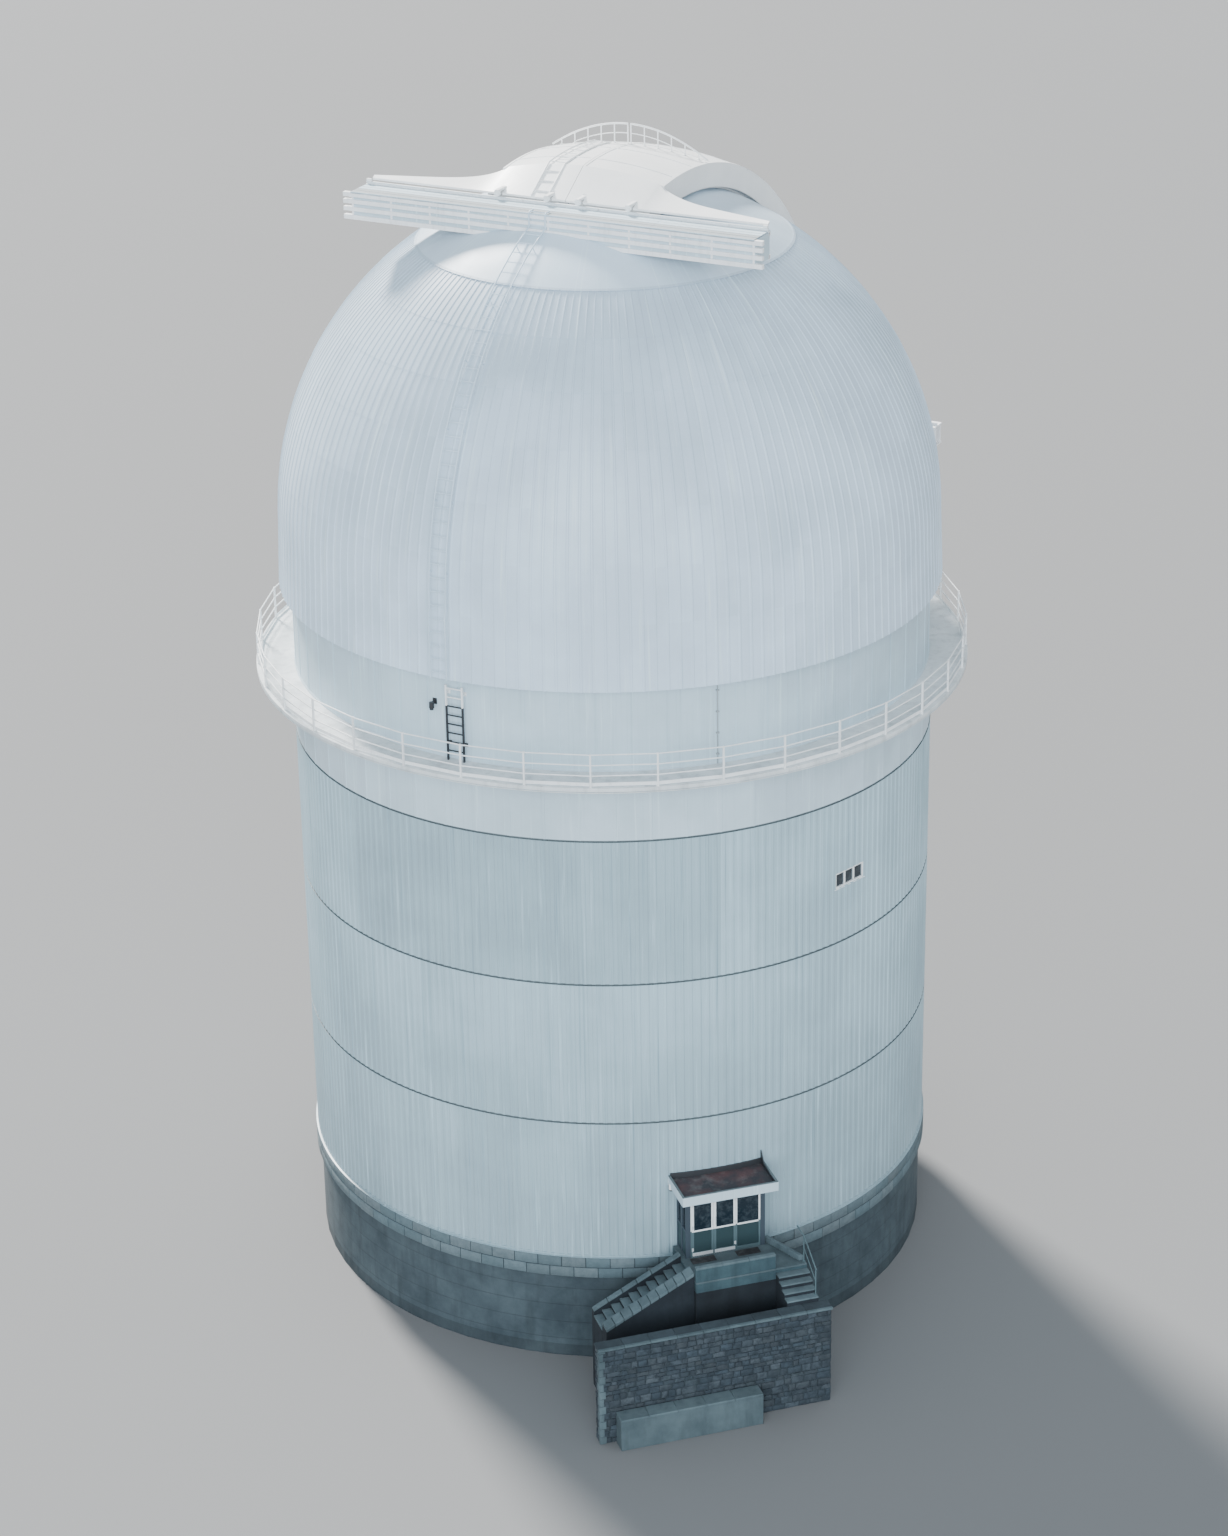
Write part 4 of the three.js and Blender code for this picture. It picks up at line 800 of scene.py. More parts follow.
def make_window():
    """A band window: a frame with bars, grey casement edges, dark panes and a sloped sill."""
    low, high = WINDOW_LOW, WINDOW_HIGH
    front = low.y
    window = Piece("window_unit", WHITE, about_z(WINDOW_ANGLE))
    edge = 0.045
    foot, head = low.z + edge, high.z - edge
    panes = 3
    pane = (high.x - low.x - (panes + 1) * edge) / panes
    for z in (low.z, head):
        window.box(low.x, high.x, front, high.y, z, z + edge)
    for i in range(panes + 1):
        x = low.x + i * (pane + edge)
        window.box(x, x + edge, front + 0.004, high.y, foot, head)
    for i in range(panes):
        x = low.x + edge + i * (pane + edge)
        window.use(GREY)
        for side in (x, x + pane - 0.02):
            window.box(side, side + 0.02, front + 0.03, front + 0.05, foot, head)
        window.use(GLASS)
        window.box(x + 0.001, x + pane - 0.001, front + 0.05, front + 0.06, foot, head)
    window.use(WHITE)
    nose, back = front - 0.028, front + 0.03
    window.draw([(nose, low.z - 0.022), (nose, low.z - 0.012), (back, low.z + 0.006), (back, low.z - 0.012)],
                "x", low.x - 0.05, high.x + 0.05)
    window.build("tower", "galvanised", "window_frame", "window_glass", bevel=0.003, smooth=40)


# Entrance porch, in the entrance's frame

GLAZING = 0.9                    # from the foot of a door or a screen up to its glass
LINE = SHEET_OUT + EDGE          # where the porch meets the tower's sheet


def front_line(radius, x0, x1, count):
    """Places on the front of a circle from one X to another."""
    return [(x, -on_sphere(radius, x)) for x in spread(x0, x1, count)]


def porch_back(low, high):
    """How far back a porch piece can go before a corner of it meets the sheet."""
    return -on_sphere(LINE, max(abs(low.x), abs(high.x)))


def make_porch_sides():
    """Glazed screens in two bays each, with panels below the glass."""
    bar = 0.06
    for hand in ("left", "right"):
        low, high = local_box(f"porch_{hand}_wall", ENTRANCE)
        sill = low.z + GLAZING
        screen = Piece(f"porch_{hand}_screen", SLATE, ENTRANCE)
        for y0, y1 in cells(low.y, porch_back(low, high), 2):
            screen.use(SLATE)
            for y in (y0, y1 - bar):
                screen.box(low.x, high.x, y, y + bar, low.z, high.z)
            for z in (low.z, sill - bar / 2, high.z - bar):
                screen.box(low.x + 0.004, high.x - 0.004, y0 + bar, y1 - bar, z, z + bar)
            screen.use(TEAL)
            screen.box(low.x + 0.02, high.x - 0.02, y0 + bar, y1 - bar, low.z + bar, sill - bar / 2)
            screen.use(GLASS)
            screen.box(low.x + 0.055, high.x - 0.055, y0 + bar, y1 - bar, sill + bar / 2, high.z - bar)
        screen.build("tower", "white_sheet", f"porch_{hand}_wall", bevel=0.005)


def make_porch_roof():
    """A slab under three lapped sheets of felt, an upstand along the wall and a flashing at the right end."""
    low, high = local_box("porch_roof", ENTRANCE)
    top = high.z - 0.03
    wall = front_line(LINE, low.x, high.x, 12)
    roof = Piece("porch_roof_felt", FELT, ENTRANCE)
    roof.use(WHITE)
    roof.draw([(low.x, low.y), (high.x, low.y), *reversed(wall)], "z", low.z, top)
    for i, (x0, x1) in enumerate(cells(low.x, high.x, 3)):
        roof.use(FELT, 0.3 + 0.2 * i)
        end = min(x1 + 0.08, high.x)
        z = top + 0.006 * (i % 2)
        roof.draw([(x0, low.y), (end, low.y), *reversed(front_line(LINE, x0, end, 4))], "z", z, z + 0.012)
    roof.use(BLACK)
    roof.loft([[(x, y, top), (x, y - 0.05, top), (x, y - 0.03, top + 0.15), (x, y, high.z + 0.15)]
               for x, y in wall])
    corner = wall[-1][1]
    front = low.y + 0.02
    roof.draw([(front, high.z - 0.01), (front, high.z + 0.04), (corner - 0.30, high.z + 0.10),
               (corner - 0.02, high.z + 0.42), (corner - 0.02, high.z - 0.01)], "x", high.x - 0.03, high.x)
    roof.build("tower", "roof_felt", "porch_roof", bevel=0.004)


def make_fascia():
    """Boards round three sides of the roof, with a dark capping."""
    low, high = local_box("porch_fascia", ENTRANCE)
    fascia = Piece("porch_fascia_boards", BAND, ENTRANCE)
    for look, thick, foot, head in ((BAND, 0.06, low.z, high.z), (DARK_TRIM, 0.075, high.z, high.z + 0.012)):
        fascia.use(look)
        fascia.box(low.x, high.x, low.y, low.y + thick, foot, head)
        for x in (low.x, high.x - thick):
            fascia.box(x, x + thick, low.y + thick, porch_back(low, high), foot, head)
    fascia.build("tower", "white_sheet", "porch_fascia", bevel=0.005)


def make_door_frame():
    """Jambs, mullion, head and threshold, and the sidelight with a panel below it."""
    low, high = DOOR_LOW, DOOR_HIGH
    jamb = 0.05
    sill = low.z + GLAZING
    side_low, side_high = local_box("entrance_sidelight", ENTRANCE)
    left, right = side_low.x, high.x - jamb
    mullion = left - 0.06
    door = Piece("door_frame", WHITE, ENTRANCE)
    # Below the sill the frame is dim teal and above it white.
    for look, foot, head in ((DIM_TEAL, low.z, sill), (WHITE, sill, high.z)):
        door.use(look)
        door.box(low.x, low.x + jamb, low.y, high.y, foot, head)
        door.box(right, high.x, low.y, high.y, foot, head)
        door.box(mullion, left, low.y, high.y, foot, min(head, DOOR_HEAD))
    door.box(low.x + jamb, right, low.y + 0.004, high.y, DOOR_HEAD, high.z)
    door.box(left, right, low.y + 0.004, high.y, sill - 0.05, sill)
    door.use(DIM_TEAL)
    door.box(left, right, low.y + 0.004, high.y, low.z, low.z + 0.10)
    door.use(TEAL)
    door.box(left, right, low.y + 0.025, high.y - 0.02, low.z + 0.10, sill - 0.05)
    door.use(GLASS)
    door.box(left, right, side_low.y, side_high.y, sill, DOOR_HEAD)
    door.use(STEEL)
    door.box(low.x + jamb, mullion, low.y + 0.01, high.y - 0.01, low.z, low.z + 0.009)
    door.build("tower", "white_sheet", "entrance_frame", "entrance_sidelight", bevel=0.004)


def make_door_leaf(hand, side):
    """A glazed leaf with a kick plate and a bar handle. Its hinges are on the outer edge."""
    low, high = local_box(f"{hand}_door_leaf", ENTRANCE)
    front, back = low.y + 0.0286, high.y
    hung, free = (low.x + 0.002, high.x) if side < 0 else (high.x - 0.002, low.x)
    x0, x1 = sorted((hung, free))
    stile = 0.07
    rail = 0.14
    sill = low.z + GLAZING
    lock = sill - 0.05
    leaf = Piece(f"{hand}_door", WHITE, ENTRANCE)
    # Below the lock rail the stiles are dim teal and above it white.
    for look, foot, head, z in ((DIM_TEAL, low.z, lock, low.z), (WHITE, lock, high.z, high.z - rail)):
        leaf.use(look)
        leaf.box(x0, x0 + stile, front, back, foot, head)
        leaf.box(x1 - stile, x1, front, back, foot, head)
        leaf.box(x0 + stile, x1 - stile, front, back, z, z + rail)
    leaf.box(x0 + stile, x1 - stile, front, back, lock, sill)
    leaf.use(TEAL)
    leaf.box(x0 + stile, x1 - stile, front + 0.018, back - 0.018, low.z + rail, lock)
    leaf.use(STEEL)
    leaf.box(x0 + 0.021, x1 - 0.021, front - 0.002, front, low.z + 0.02, low.z + 0.13)
    leaf.use(GLASS)
    leaf.box(x0 + stile, x1 - stile, front + 0.019, back - 0.019, sill, high.z - rail)
    leaf.use(STEEL)
    grip = free + side * 0.045
    bar = front - 0.024
    leaf.tube([(grip, y, sill + z) for y, z in ((front, 0.10), (bar, 0.10), (bar, 0.38), (front, 0.38))],
              0.009)
    hinge = hung - side * 0.010
    for z in (low.z + 0.25, low.z + 1.01, low.z + 1.77):
        leaf.drum(0.0135, (hinge, low.y + 0.014, z), "z", 0.118, 12)
        leaf.box(*sorted((hinge, hinge - side * 0.045)), low.y + 0.02, front + 0.002, z - 0.05, z + 0.05)
    leaf.build(f"{hand}_door", "white_sheet", f"{hand}_door_leaf", bevel=0.003)


# Landing, stairs and stone base

LANDING_LOW = local_box("landing", ENTRANCE)[0]
FLIGHT_LOW, FLIGHT_HIGH = local_box("right_stair", ENTRANCE)
LEFT_LOW, LEFT_HIGH = local_box("left_stair", ENTRANCE)
RISE = 0.14
LANDING_TOP = FLIGHT_HIGH.z + RISE
SPLAY = ((1.4, -10.4), (2.08, -11.9))
MAT = 0.006                      # thin, so that the doors clear it


def make_landing():
    """The slab in bands: render coloured dark as painted shade low down, plain render and a light edge; a kerb
    on its splay, two mats and the front wall.
    """
    landing = Piece("landing_slab", RENDER, ENTRANCE)
    side = -LANDING_LOW.x
    top = LANDING_TOP
    back = front_line(PLINTH_OUT + EDGE, -side, side, 8)
    start, far = SPLAY
    outline = [(-side, LANDING_LOW.y), (FLIGHT_HIGH.x, LANDING_LOW.y), far, start, *reversed(back)]
    for look, tone, foot, head in ((RENDER_SHADE, 0.5, 0.0, top - 0.36), (RENDER, 0.5, top - 0.36, top - 0.06),
                                   (COPING, 0.35, top - 0.058, top - 0.001)):
        landing.use(look, tone)
        landing.draw(outline, "z", foot, head)
    landing.use(COPING, 0.8)
    end = tuple(a + 0.93 * (b - a) for a, b in zip(start, far))
    kerb = [(start[0] - 0.14, start[1]), (end[0] - 0.14, end[1]), end, start]
    landing.draw(kerb, "z", top, top + 0.18)
    landing.build("tower", "cement_render", "landing", bevel=0.012, segments=2)

    mats = Piece("landing_mats", RUBBER, ENTRANCE)
    for x0, x1 in ((-1.16, -0.40), (0.26, 1.0)):
        mats.box(x0, x1, -10.98, -10.66, top, top + MAT)
    mats.build("tower", "cement_render", bevel=0.002)

    low, high = local_box("landing_parapet", ENTRANCE)
    parapet = Piece("landing_front_wall", RENDER, ENTRANCE)
    parapet.box(low.x, high.x, low.y + 0.012, high.y - 0.012, low.z, high.z - 0.07)
    parapet.use(COPING, 0.75)
    for x0, x1 in cells(low.x, high.x, 3, 0.004):
        parapet.box(x0, x1, low.y, high.y, high.z - 0.07, high.z)
    parapet.build("tower", "cement_render", "landing_parapet", bevel=0.010, segments=2)


def make_flight(hand, place, risers, run, width):
    """Steps down along -X of a placed frame: a solid core coloured dark as painted shade, and a slab on each
    with a nosing.
    """
    slab = 0.05
    nose = 0.018
    draw = random.Random(41)
    piece = Piece(f"{hand}_flight", RENDER_SHADE, ENTRANCE @ place)
    steps = [(-i * run, LANDING_TOP - i * RISE) for i in range(1, risers)]
    outline = [(0.0, 0.0)]
    for edge, z in steps:
        outline += [(edge + run, z - slab), (edge, z - slab)]
    outline.append((steps[-1][0], 0.0))
    piece.use(RENDER_SHADE, 0.9)
    piece.draw(outline, "y", 0.0, width)
    for edge, z in steps:
        piece.use(COPING, draw.uniform(0.45, 0.95))
        back = edge + run - 0.002
        foot = z - slab + 0.001
        lip = edge if z == steps[-1][1] else edge - nose
        piece.draw([(lip, foot), (lip, z - 0.01), (lip + 0.01, z), (back, z), (back, foot)], "y", 0.0, width)
    piece.build("tower", "cement_render", f"{hand}_stair", bevel=0.006)


def make_stairs():
    start = Matrix.Translation((LEFT_HIGH.x, LEFT_LOW.y, 0.0))
    make_flight("left", start, 11, 0.275, LEFT_HIGH.y - LEFT_LOW.y)
    corner = Matrix.Translation((FLIGHT_LOW.x, FLIGHT_HIGH.y, 0.0)) @ about_z(math.pi / 2)
    make_flight("right", corner @ Matrix.Scale(-1, 4, (0, 1, 0)), 5, 0.25, FLIGHT_HIGH.x - FLIGHT_LOW.x)


def make_sloped_wall(node, name, coping, blocks):
    """A wall beside the left flight, coloured dark as painted shade, with a coping in blocks that follows its
    slope.
    """
    low, high = local_box(node, ENTRANCE)
    drop = 10 * RISE

    def line(x, depth):
        return x, high.z - drop + (x - low.x) / (high.x - low.x) * drop - depth

    wall = Piece(name, RENDER_SHADE, ENTRANCE)
    wall.use(RENDER_SHADE, 0.9)
    wall.draw([(high.x, 0.0), line(high.x, coping), line(low.x, coping), (low.x, 0.0)],
              "y", low.y + 0.012, high.y - 0.012)
    draw = random.Random(51)
    for x0, x1 in cells(low.x, high.x, blocks, 0.010):
        wall.use(COPING, draw.uniform(0.35, 1.0))
        wall.draw([line(x0, coping), line(x1, coping), line(x1, 0.002), line(x0, 0.002)], "y", low.y, high.y)
    wall.build("tower", "cement_render", node, bevel=0.010, segments=2)


def make_handrail():
    """A sloped rail and a lower rail between two posts on flanges."""
    low, high = local_box("stair_handrail", ENTRANCE)
    x = (low.x + high.x) / 2
    lowest = LANDING_TOP - 4 * RISE
    height = 0.88
    y_top, y_foot = LANDING_LOW.y + 0.15, -12.875
    z_top, z_foot = LANDING_TOP + height, lowest + height
    rail = Piece("flight_handrail", DIM_TEAL, ENTRANCE)
    rail.tube([(x, y_top + 0.58, z_top), (x, y_top, z_top), (x, y_foot - 0.04, z_foot)], 0.021, 12)
    rail.tube([(x, y_top, z_top - 0.42), (x, y_foot, z_foot - 0.42)], 0.014, 10)
    for y, z0, z1 in ((y_top, LANDING_TOP, z_top), (y_foot, lowest, z_foot)):
        rail.tube([(x, y, z0), (x, y, z1)], 0.019, 12)
        rail.drum(0.045, (x, y, z0 + 0.006), "z", 0.012, 16)
    rail.build("tower", "galvanised", "stair_handrail", smooth=40)


def stone_face(piece, origin, across, out, width, height, seed):
    """Rubble stones with pillowed faces over an upright rectangle, standing out from the mortar."""
    draw = random.Random(seed)
    origin, across, up, out = Vector(origin), Vector(across), Vector((0, 0, 1)), Vector(out)
    gap = 0.011
    jitter = 0.014
    margin = 0.004

    def stretch(left, shortest, longest, least):
        """A length drawn at random, or all that is left where the rest would be too short."""
        length = min(draw.uniform(shortest, longest), left)
        return left if left - length < least else length

    def moved(value, limit):
        return min(max(value + draw.uniform(-jitter, jitter), margin), limit - margin)

    z = 0.0
    while z < height - 0.05:
        course = stretch(height - z, 0.13, 0.25, 0.10)
        v = z + course / 2
        x = 0.0
        while x < width - 0.05:
            length = stretch(width - x, 0.17, 0.46, 0.12)
            u = x + length / 2
            lows = (x + gap, u, x + length - gap)
            corners = [*((a, z + gap) for a in lows), (lows[2], v)]
            corners += [*((a, z + course - gap) for a in reversed(lows)), (lows[0], v)]
            corners = [(moved(a, width), moved(b, height)) for a, b in corners]
            proud = draw.uniform(0.026, 0.044)
            piece.use(RUBBLE, draw.random())
            pillow = ((1.0, -0.02), (1.0, 0.4 * proud), (0.86, 0.9 * proud), (0.45, proud))
            piece.loft([[origin + across * (u + share * (a - u)) + up * (v + share * (b - v)) + out * depth
                         for a, b in corners] for share, depth in pillow])
            x += length
        z += course


def make_stone_base():
    """A rubble wall with a low ledge before it. Both have a thin light edge over the stones, and behind the
    wall's edge its top is coloured dark as painted shade.
    """
    low, high = local_box("stone_base", ENTRANCE)
    front, back = -13.5, high.y
    left, right, ledge_top = low.x + 0.5, 0.0, 1.06
    proud = 0.048
    coping = 0.07
    height = high.z - coping
    ledge = ledge_top - coping
    x0, x1, y0, y1 = low.x + proud, high.x - proud, front + proud, back - proud
    base = Piece("stone_base_wall", MORTAR_AND_SHADE, ENTRANCE)
    base.box(x0, x1, y0, y1, 0.0, height)
    base.box(left + proud, right - proud, low.y + proud, y0 + 0.002, 0.0, ledge)
    for seed, x, y, across, out, width in ((61, x0, y0, (1, 0, 0), (0, -1, 0), x1 - x0),
                                           (62, x0, y1, (1, 0, 0), (0, 1, 0), x1 - x0),
                                           (63, x0, y0, (0, 1, 0), (-1, 0, 0), y1 - y0),
                                           (64, x1, y0, (0, 1, 0), (1, 0, 0), y1 - y0)):
        stone_face(base, (x, y, 0), across, out, width, height, seed)
    base.build("tower", "rubble", "stone_base", smooth=50)

    trim = Piece("stone_base_edges", COPING, ENTRANCE)
    draw = random.Random(67)
    quoin = 0.26
    for i in range(math.ceil((height - 0.02) / quoin)):
        reach, deep = ((0.20, 0.14), (0.14, 0.20))[i % 2]
        trim.use(COPING, draw.uniform(0.2, 0.7))
        foot, head = i * quoin, min((i + 1) * quoin, height)
        trim.box(low.x, low.x + reach, front, front + deep, foot + 0.006, head - 0.006)
    edge = front + 0.10
    for x0, x1 in cells(low.x, high.x, 9, 0.004):
        trim.use(COPING, draw.uniform(0.3, 0.8))
        trim.box(x0, x1, front, edge, height + 0.002, high.z)
        # Behind the light front edge the wall's top is dark, as painted shade.
        trim.use(MORTAR_AND_SHADE, draw.uniform(0.4, 1.0))
        trim.box(x0 - 0.002, x1 + 0.002, edge, back, height + 0.002, high.z - draw.uniform(0.008, 0.016))
    trim.use(COPING, 0.3)
    trim.box(left, right, low.y, low.y + proud, 0.0, ledge)
    for x in (left, right - proud):
        trim.box(x, x + proud, low.y + proud, front, 0.0, ledge)
    for x0, x1 in cells(left, right, 5, 0.004):
        trim.use(COPING, draw.uniform(0.2, 0.9))
        trim.box(x0, x1, low.y, front - 0.002, ledge + 0.002, ledge_top)
    trim.build("tower", "rubble", bevel=0.008)


# Turning dome, in its own frame: +Y is the slit and X runs along the beams

SLIT_HALF = 2.3
SLIT_REAR = -2.05
SLIT_FOOT = 0.3
SEAMS = 180
COURSES = 6
COURSE_STEPS = 6
LAP = 0.007
RIB = 0.018
SKIN_OUT = DOME_OUT - RIB
FAR = 14.0                       # beyond everything on the dome


def slit_cutter(extra=0.0):
    return knife(DOME, -SLIT_HALF - extra, SLIT_HALF + extra, SLIT_REAR - extra, FAR, SLIT_FOOT, FAR)


def bent(section, steps, front, rear):
    """Rings of an (x, radius) section bent about the X axis, from a level foot to an upright rear."""
    rings = []
    for s in spread(0.0, 1.0, steps):
        ring = []
        for x, r in section:
            start = math.asin(front / r)
            ring.append((x, *polar(r, start + (math.acos(rear / r) - start) * s)))
        rings.append(ring)
    return rings


def skin_levels():
    """The skin's line from the cap's edge to the equator as (cosine, sine, lap), lapped in courses."""
    line = []
    for upper, lower in cells(math.acos(CAP_EDGE / DOME_OUT), 0.0, COURSES):
        for k, elevation in enumerate(spread(upper, lower, COURSE_STEPS - 1)):
            line.append((*polar(1.0, elevation), LAP * k / (COURSE_STEPS - 1)))
    return line


def make_gores():
    """Four quarters of ribbed sheet down to the skirt. The two at the slit are cut by it."""
    line = skin_levels()
    foot = DOME_EDGE - DOME_CENTRE
    draw = random.Random(71)
    pitch = math.tau / SEAMS
    margin = 0.0002
    steps = ((0.0, 1.0), (0.06, 1.0), (0.14, 0.0), (0.86, 0.0), (0.94, 1.0))
    under = [(SKIRT_IN, foot), (SKIRT_IN, 0.0)]
    under += [polar(DOME_IN, a) for a in spread(0.0, math.acos(CAP_EDGE / DOME_IN), 14)]
    for gore in range(4):
        start = math.pi + gore * math.pi / 2
        angles = [(start + (i + share) * pitch, rib) for i in range(SEAMS // 4) for share, rib in steps]
        angles = [(start + margin, 1.0), *angles[1:], (start + math.pi / 2 - margin, 1.0)]
        rings = []
        for a, rib in angles:
            face = SKIN_OUT + RIB * rib
            outer = [((face + lap - LAP) * c, (face + lap - LAP) * s) for c, s, lap in line]
            outer += [(face + (SKIRT_OUT - DOME_OUT) * s, foot * s) for s in spread(0.0, 1.0, 4)[1:]]
            rings.append([around(r, a, z) for r, z in outer + under])
        piece = Piece(f"dome_quarter_{gore + 1}", SKIN, DOME)
        piece.loft(rings)
        tones = [[draw.uniform(0.25, 0.85) for _ in range(COURSES + 1)] for _ in range(SEAMS // 4 + 1)]
        for k in range((len(rings) - 1) * len(rings[0])):
            column, row = divmod(k, len(rings[0]))
            piece.face_tones[k] = tones[column // len(steps)][min((row + 1) // COURSE_STEPS, COURSES)]
        cut = (slit_cutter(),) if gore in (0, 3) else ()
        piece.build("dome", "white_sheet", f"dome_gore_{gore + 1}", smooth=28, cut=cut)


def make_crown():
    """The smooth cap, in courses of sheet, with a flat bolted ring over its seam."""
    crown = Piece("dome_cap", CAP, DOME)
    edge = math.asin((CAP_EDGE - 0.002) / DOME_OUT)
    steps = 16
    outer = []
    for share in spread(0.0, 1.0, steps):
        laps = sum(0.008 for lap in (0.30, 0.62) if share > lap)
        outer.append(polar(DOME_OUT - 0.016 + laps, edge * share)[::-1])
    under = [polar(DOME_IN, edge * share)[::-1] for share in spread(1.0, 0.0, steps)]
    crown.turned([(max(r, 0.001), z) for r, z in outer + under], 144)
    crown.build("dome", "white_sheet", "dome_crown", smooth=25, cut=(slit_cutter(),))

    ring = Piece("cap_ring", SKIN, DOME)
    low, high = DOME_OUT - 0.012, DOME_OUT + 0.006
    inner, seam, outer = (math.asin((CAP_EDGE + reach) / DOME_OUT) for reach in (-0.035, 0.0, 0.035))
    ring.turned([polar(r, a)[::-1] for r, a in ((low, inner), (high, inner), (high, outer), (low, outer))],
                240)
    bolts = 120
    out = Vector((0, -math.sin(seam), math.cos(seam)))
    for i in range(bolts):
        ring.turn = about_z(math.tau * (i + 0.5) / bolts)
        ring.tube([out * (high - 0.01), out * (high + 0.008)], 0.012, 6)
    ring.build("dome", "light_paint", smooth=35, cut=(slit_cutter(0.10),))


def make_coaming():
    """The upstand along each side of the slit and across its rear."""
    low, high = 0.002, 0.138
    rear, far = SLIT_REAR - 0.002, SLIT_REAR - 0.086
    coaming = Piece("slit_upstand", WHITE, DOME)
    for side in (-1, 1):
        x0, x1 = sorted((side * (SLIT_HALF + 0.002), side * (SLIT_HALF + 0.086)))
        section = [(x, on_sphere(DOME_OUT + lift, x)) for x, lift in block(x0, x1, low, high)]
        coaming.loft(bent(section, 90, 0.303, far))
    coaming.loft([[(x, y, on_sphere(DOME_OUT + lift, x, y)) for y, lift in block(rear, far, low, high)]
                  for x in spread(-SLIT_HALF, SLIT_HALF, 24)])
    coaming.build("dome", "white_sheet", "slit_coaming", bevel=0.006, smooth=30)


BEAM_LOW, BEAM_HIGH = local_box("upper_beam", DOME)
OVERHANG = 0.25                  # how far the rear face's bars reach past the beam's ends
BEAM_HALF = BEAM_HIGH.x - OVERHANG
BEAM = (-BEAM_HALF, BEAM_HALF)
BEAM_FOOT = 9.02
BEAM_TOP = 9.82
TRACK_TOP = BEAM_HIGH.z
TRACK_Y = -2.64
LOWER_TRACK_Y = 10.45
LOWER_LOW, LOWER_HIGH = local_box("lower_beam", DOME)


def rail_section(y, foot, head):
    """The outline of a rail in the Y-Z plane: a broad foot, a thin web and a head."""
    half = [(0.04, foot), (0.04, foot + 0.012), (0.012, foot + 0.02), (0.012, head - 0.02),
            (0.026, head - 0.012), (0.026, head)]
    return [(y + a, z) for a, z in half] + [(y - a, z) for a, z in reversed(half)]


def make_upper_beam():
    """Four chords and two rails round a closed web of sheet, with a planked top that carries the track."""
    beam = Piece("upper_track_beam", PAINT, DOME)
    rear, front = BEAM_LOW.y, BEAM_HIGH.y
    foot, top = BEAM_FOOT, BEAM_TOP
    reach = BEAM_HALF + OVERHANG
    chord = 0.13
    for y, end in ((rear, reach), (front - chord, BEAM_HALF)):
        for z in (foot, top - chord):
            beam.box(-end, end, y, y + chord, z, z + chord)
    for z in (foot + 0.25, foot + 0.47):
        beam.box(-reach, reach, rear, rear + 0.118, z, z + 0.12)
    sheet = 0.02
    web_rear, web_front = rear + 0.06, front - 0.06 - sheet
    beam.use(BAND, 0.6)
    for y in (web_rear, web_front):
        beam.box(*BEAM, y, y + sheet, foot + 0.02, top - 0.02)
    for x in (-BEAM_HALF, BEAM_HALF - sheet):
        beam.box(x, x + sheet, web_rear + sheet, web_front, foot + 0.02, top - 0.02)
    beam.use(PAINT)
    for x in spread(-BEAM_HALF + 0.04, BEAM_HALF - 0.04, 10):
        for y in (web_rear - 0.012, web_front - 0.016):
            beam.box(x - 0.03, x + 0.03, y, y + 0.048, foot + chord, top - chord)
        beam.box(x - 0.038, x + 0.038, rear + 0.02, front - 0.02, foot + 0.02, foot + 0.10)
        for z in (foot + 0.08, top - chord - 0.02):
            beam.box(x - 0.12, x + 0.12, web_rear - 0.008, web_rear, z, z + 0.05)

    plate = top - 0.028
    beam.use(BAND)
    for y in (rear, front - 0.02):
        beam.box(*BEAM, y, y + 0.02, plate, top + 0.028)
    for i, (y0, y1) in enumerate(cells(rear + 0.025, front - 0.025, 5, 0.012)):
        for k, (x0, x1) in enumerate(cells(-BEAM_HALF + 0.005, BEAM_HALF - 0.005, 4)):
            # The two rear rows of planks are grey as painted shade.
            beam.use(GREY if i < 2 else BAND, 0.2 + 0.2 * ((i + k) % 4))
            beam.box(x0, x1 - 0.006, y0, y1, plate + 0.03, top + 0.022)
    beam.use(STEEL)
    beam.draw(rail_section(TRACK_Y, top + 0.024, TRACK_TOP), "x", *BEAM)
    beam.use(WHITE)
    for x in (-BEAM_HALF + 0.02, BEAM_HALF - 0.16):
        beam.box(x, x + 0.14, TRACK_Y - 0.035, TRACK_Y + 0.035, TRACK_TOP + 0.001, TRACK_TOP + 0.08)
    ball = Piece("cutter", PAINT, DOME)
    cap = [polar(DOME_OUT + 0.002, a)[::-1] for a in spread(0.0, 1.2, 40)]
    ball.turned([*((max(r, 0.0005), z) for r, z in cap), (0.0005, 2.0)])
    beam.build("dome", "light_paint", "upper_beam", bevel=0.006, smooth=35, cut=(ball,))


def make_lower_beam():
    """Two flanges on a double web with stiffeners, six brackets to the skirt, and the lower track."""
    low, high = LOWER_LOW, LOWER_HIGH
    back, front = 10.23, high.y
    top = 0.12
    flange = 0.06
    foot, head = low.z + flange, top - flange
    beam = Piece("lower_track_beam", PAINT, DOME)
    for z in (head, low.z):
        beam.box(*BEAM, back, front, z, z + flange)
    for y in (back + 0.124, front - 0.156):
        beam.box(*BEAM, y, y + 0.032, foot, head)
    for x in spread(-BEAM_HALF + 0.03, BEAM_HALF - 0.03, 12):
        beam.box(x - 0.008, x + 0.008, front - 0.12, front - 0.01, foot, head)
    for x in (-6.2, -4.2, -1.5, 1.5, 4.2, 6.2):
        beam.box(x - 0.028, x + 0.028, on_sphere(SKIRT_OUT, x) - 0.01, back + 0.14, low.z + 0.01, top - 0.09)
    beam.use(STEEL)
    beam.draw(rail_section(LOWER_TRACK_Y, top, high.z), "x", *BEAM)
    beam.build("dome", "light_paint", "lower_beam", bevel=0.005)


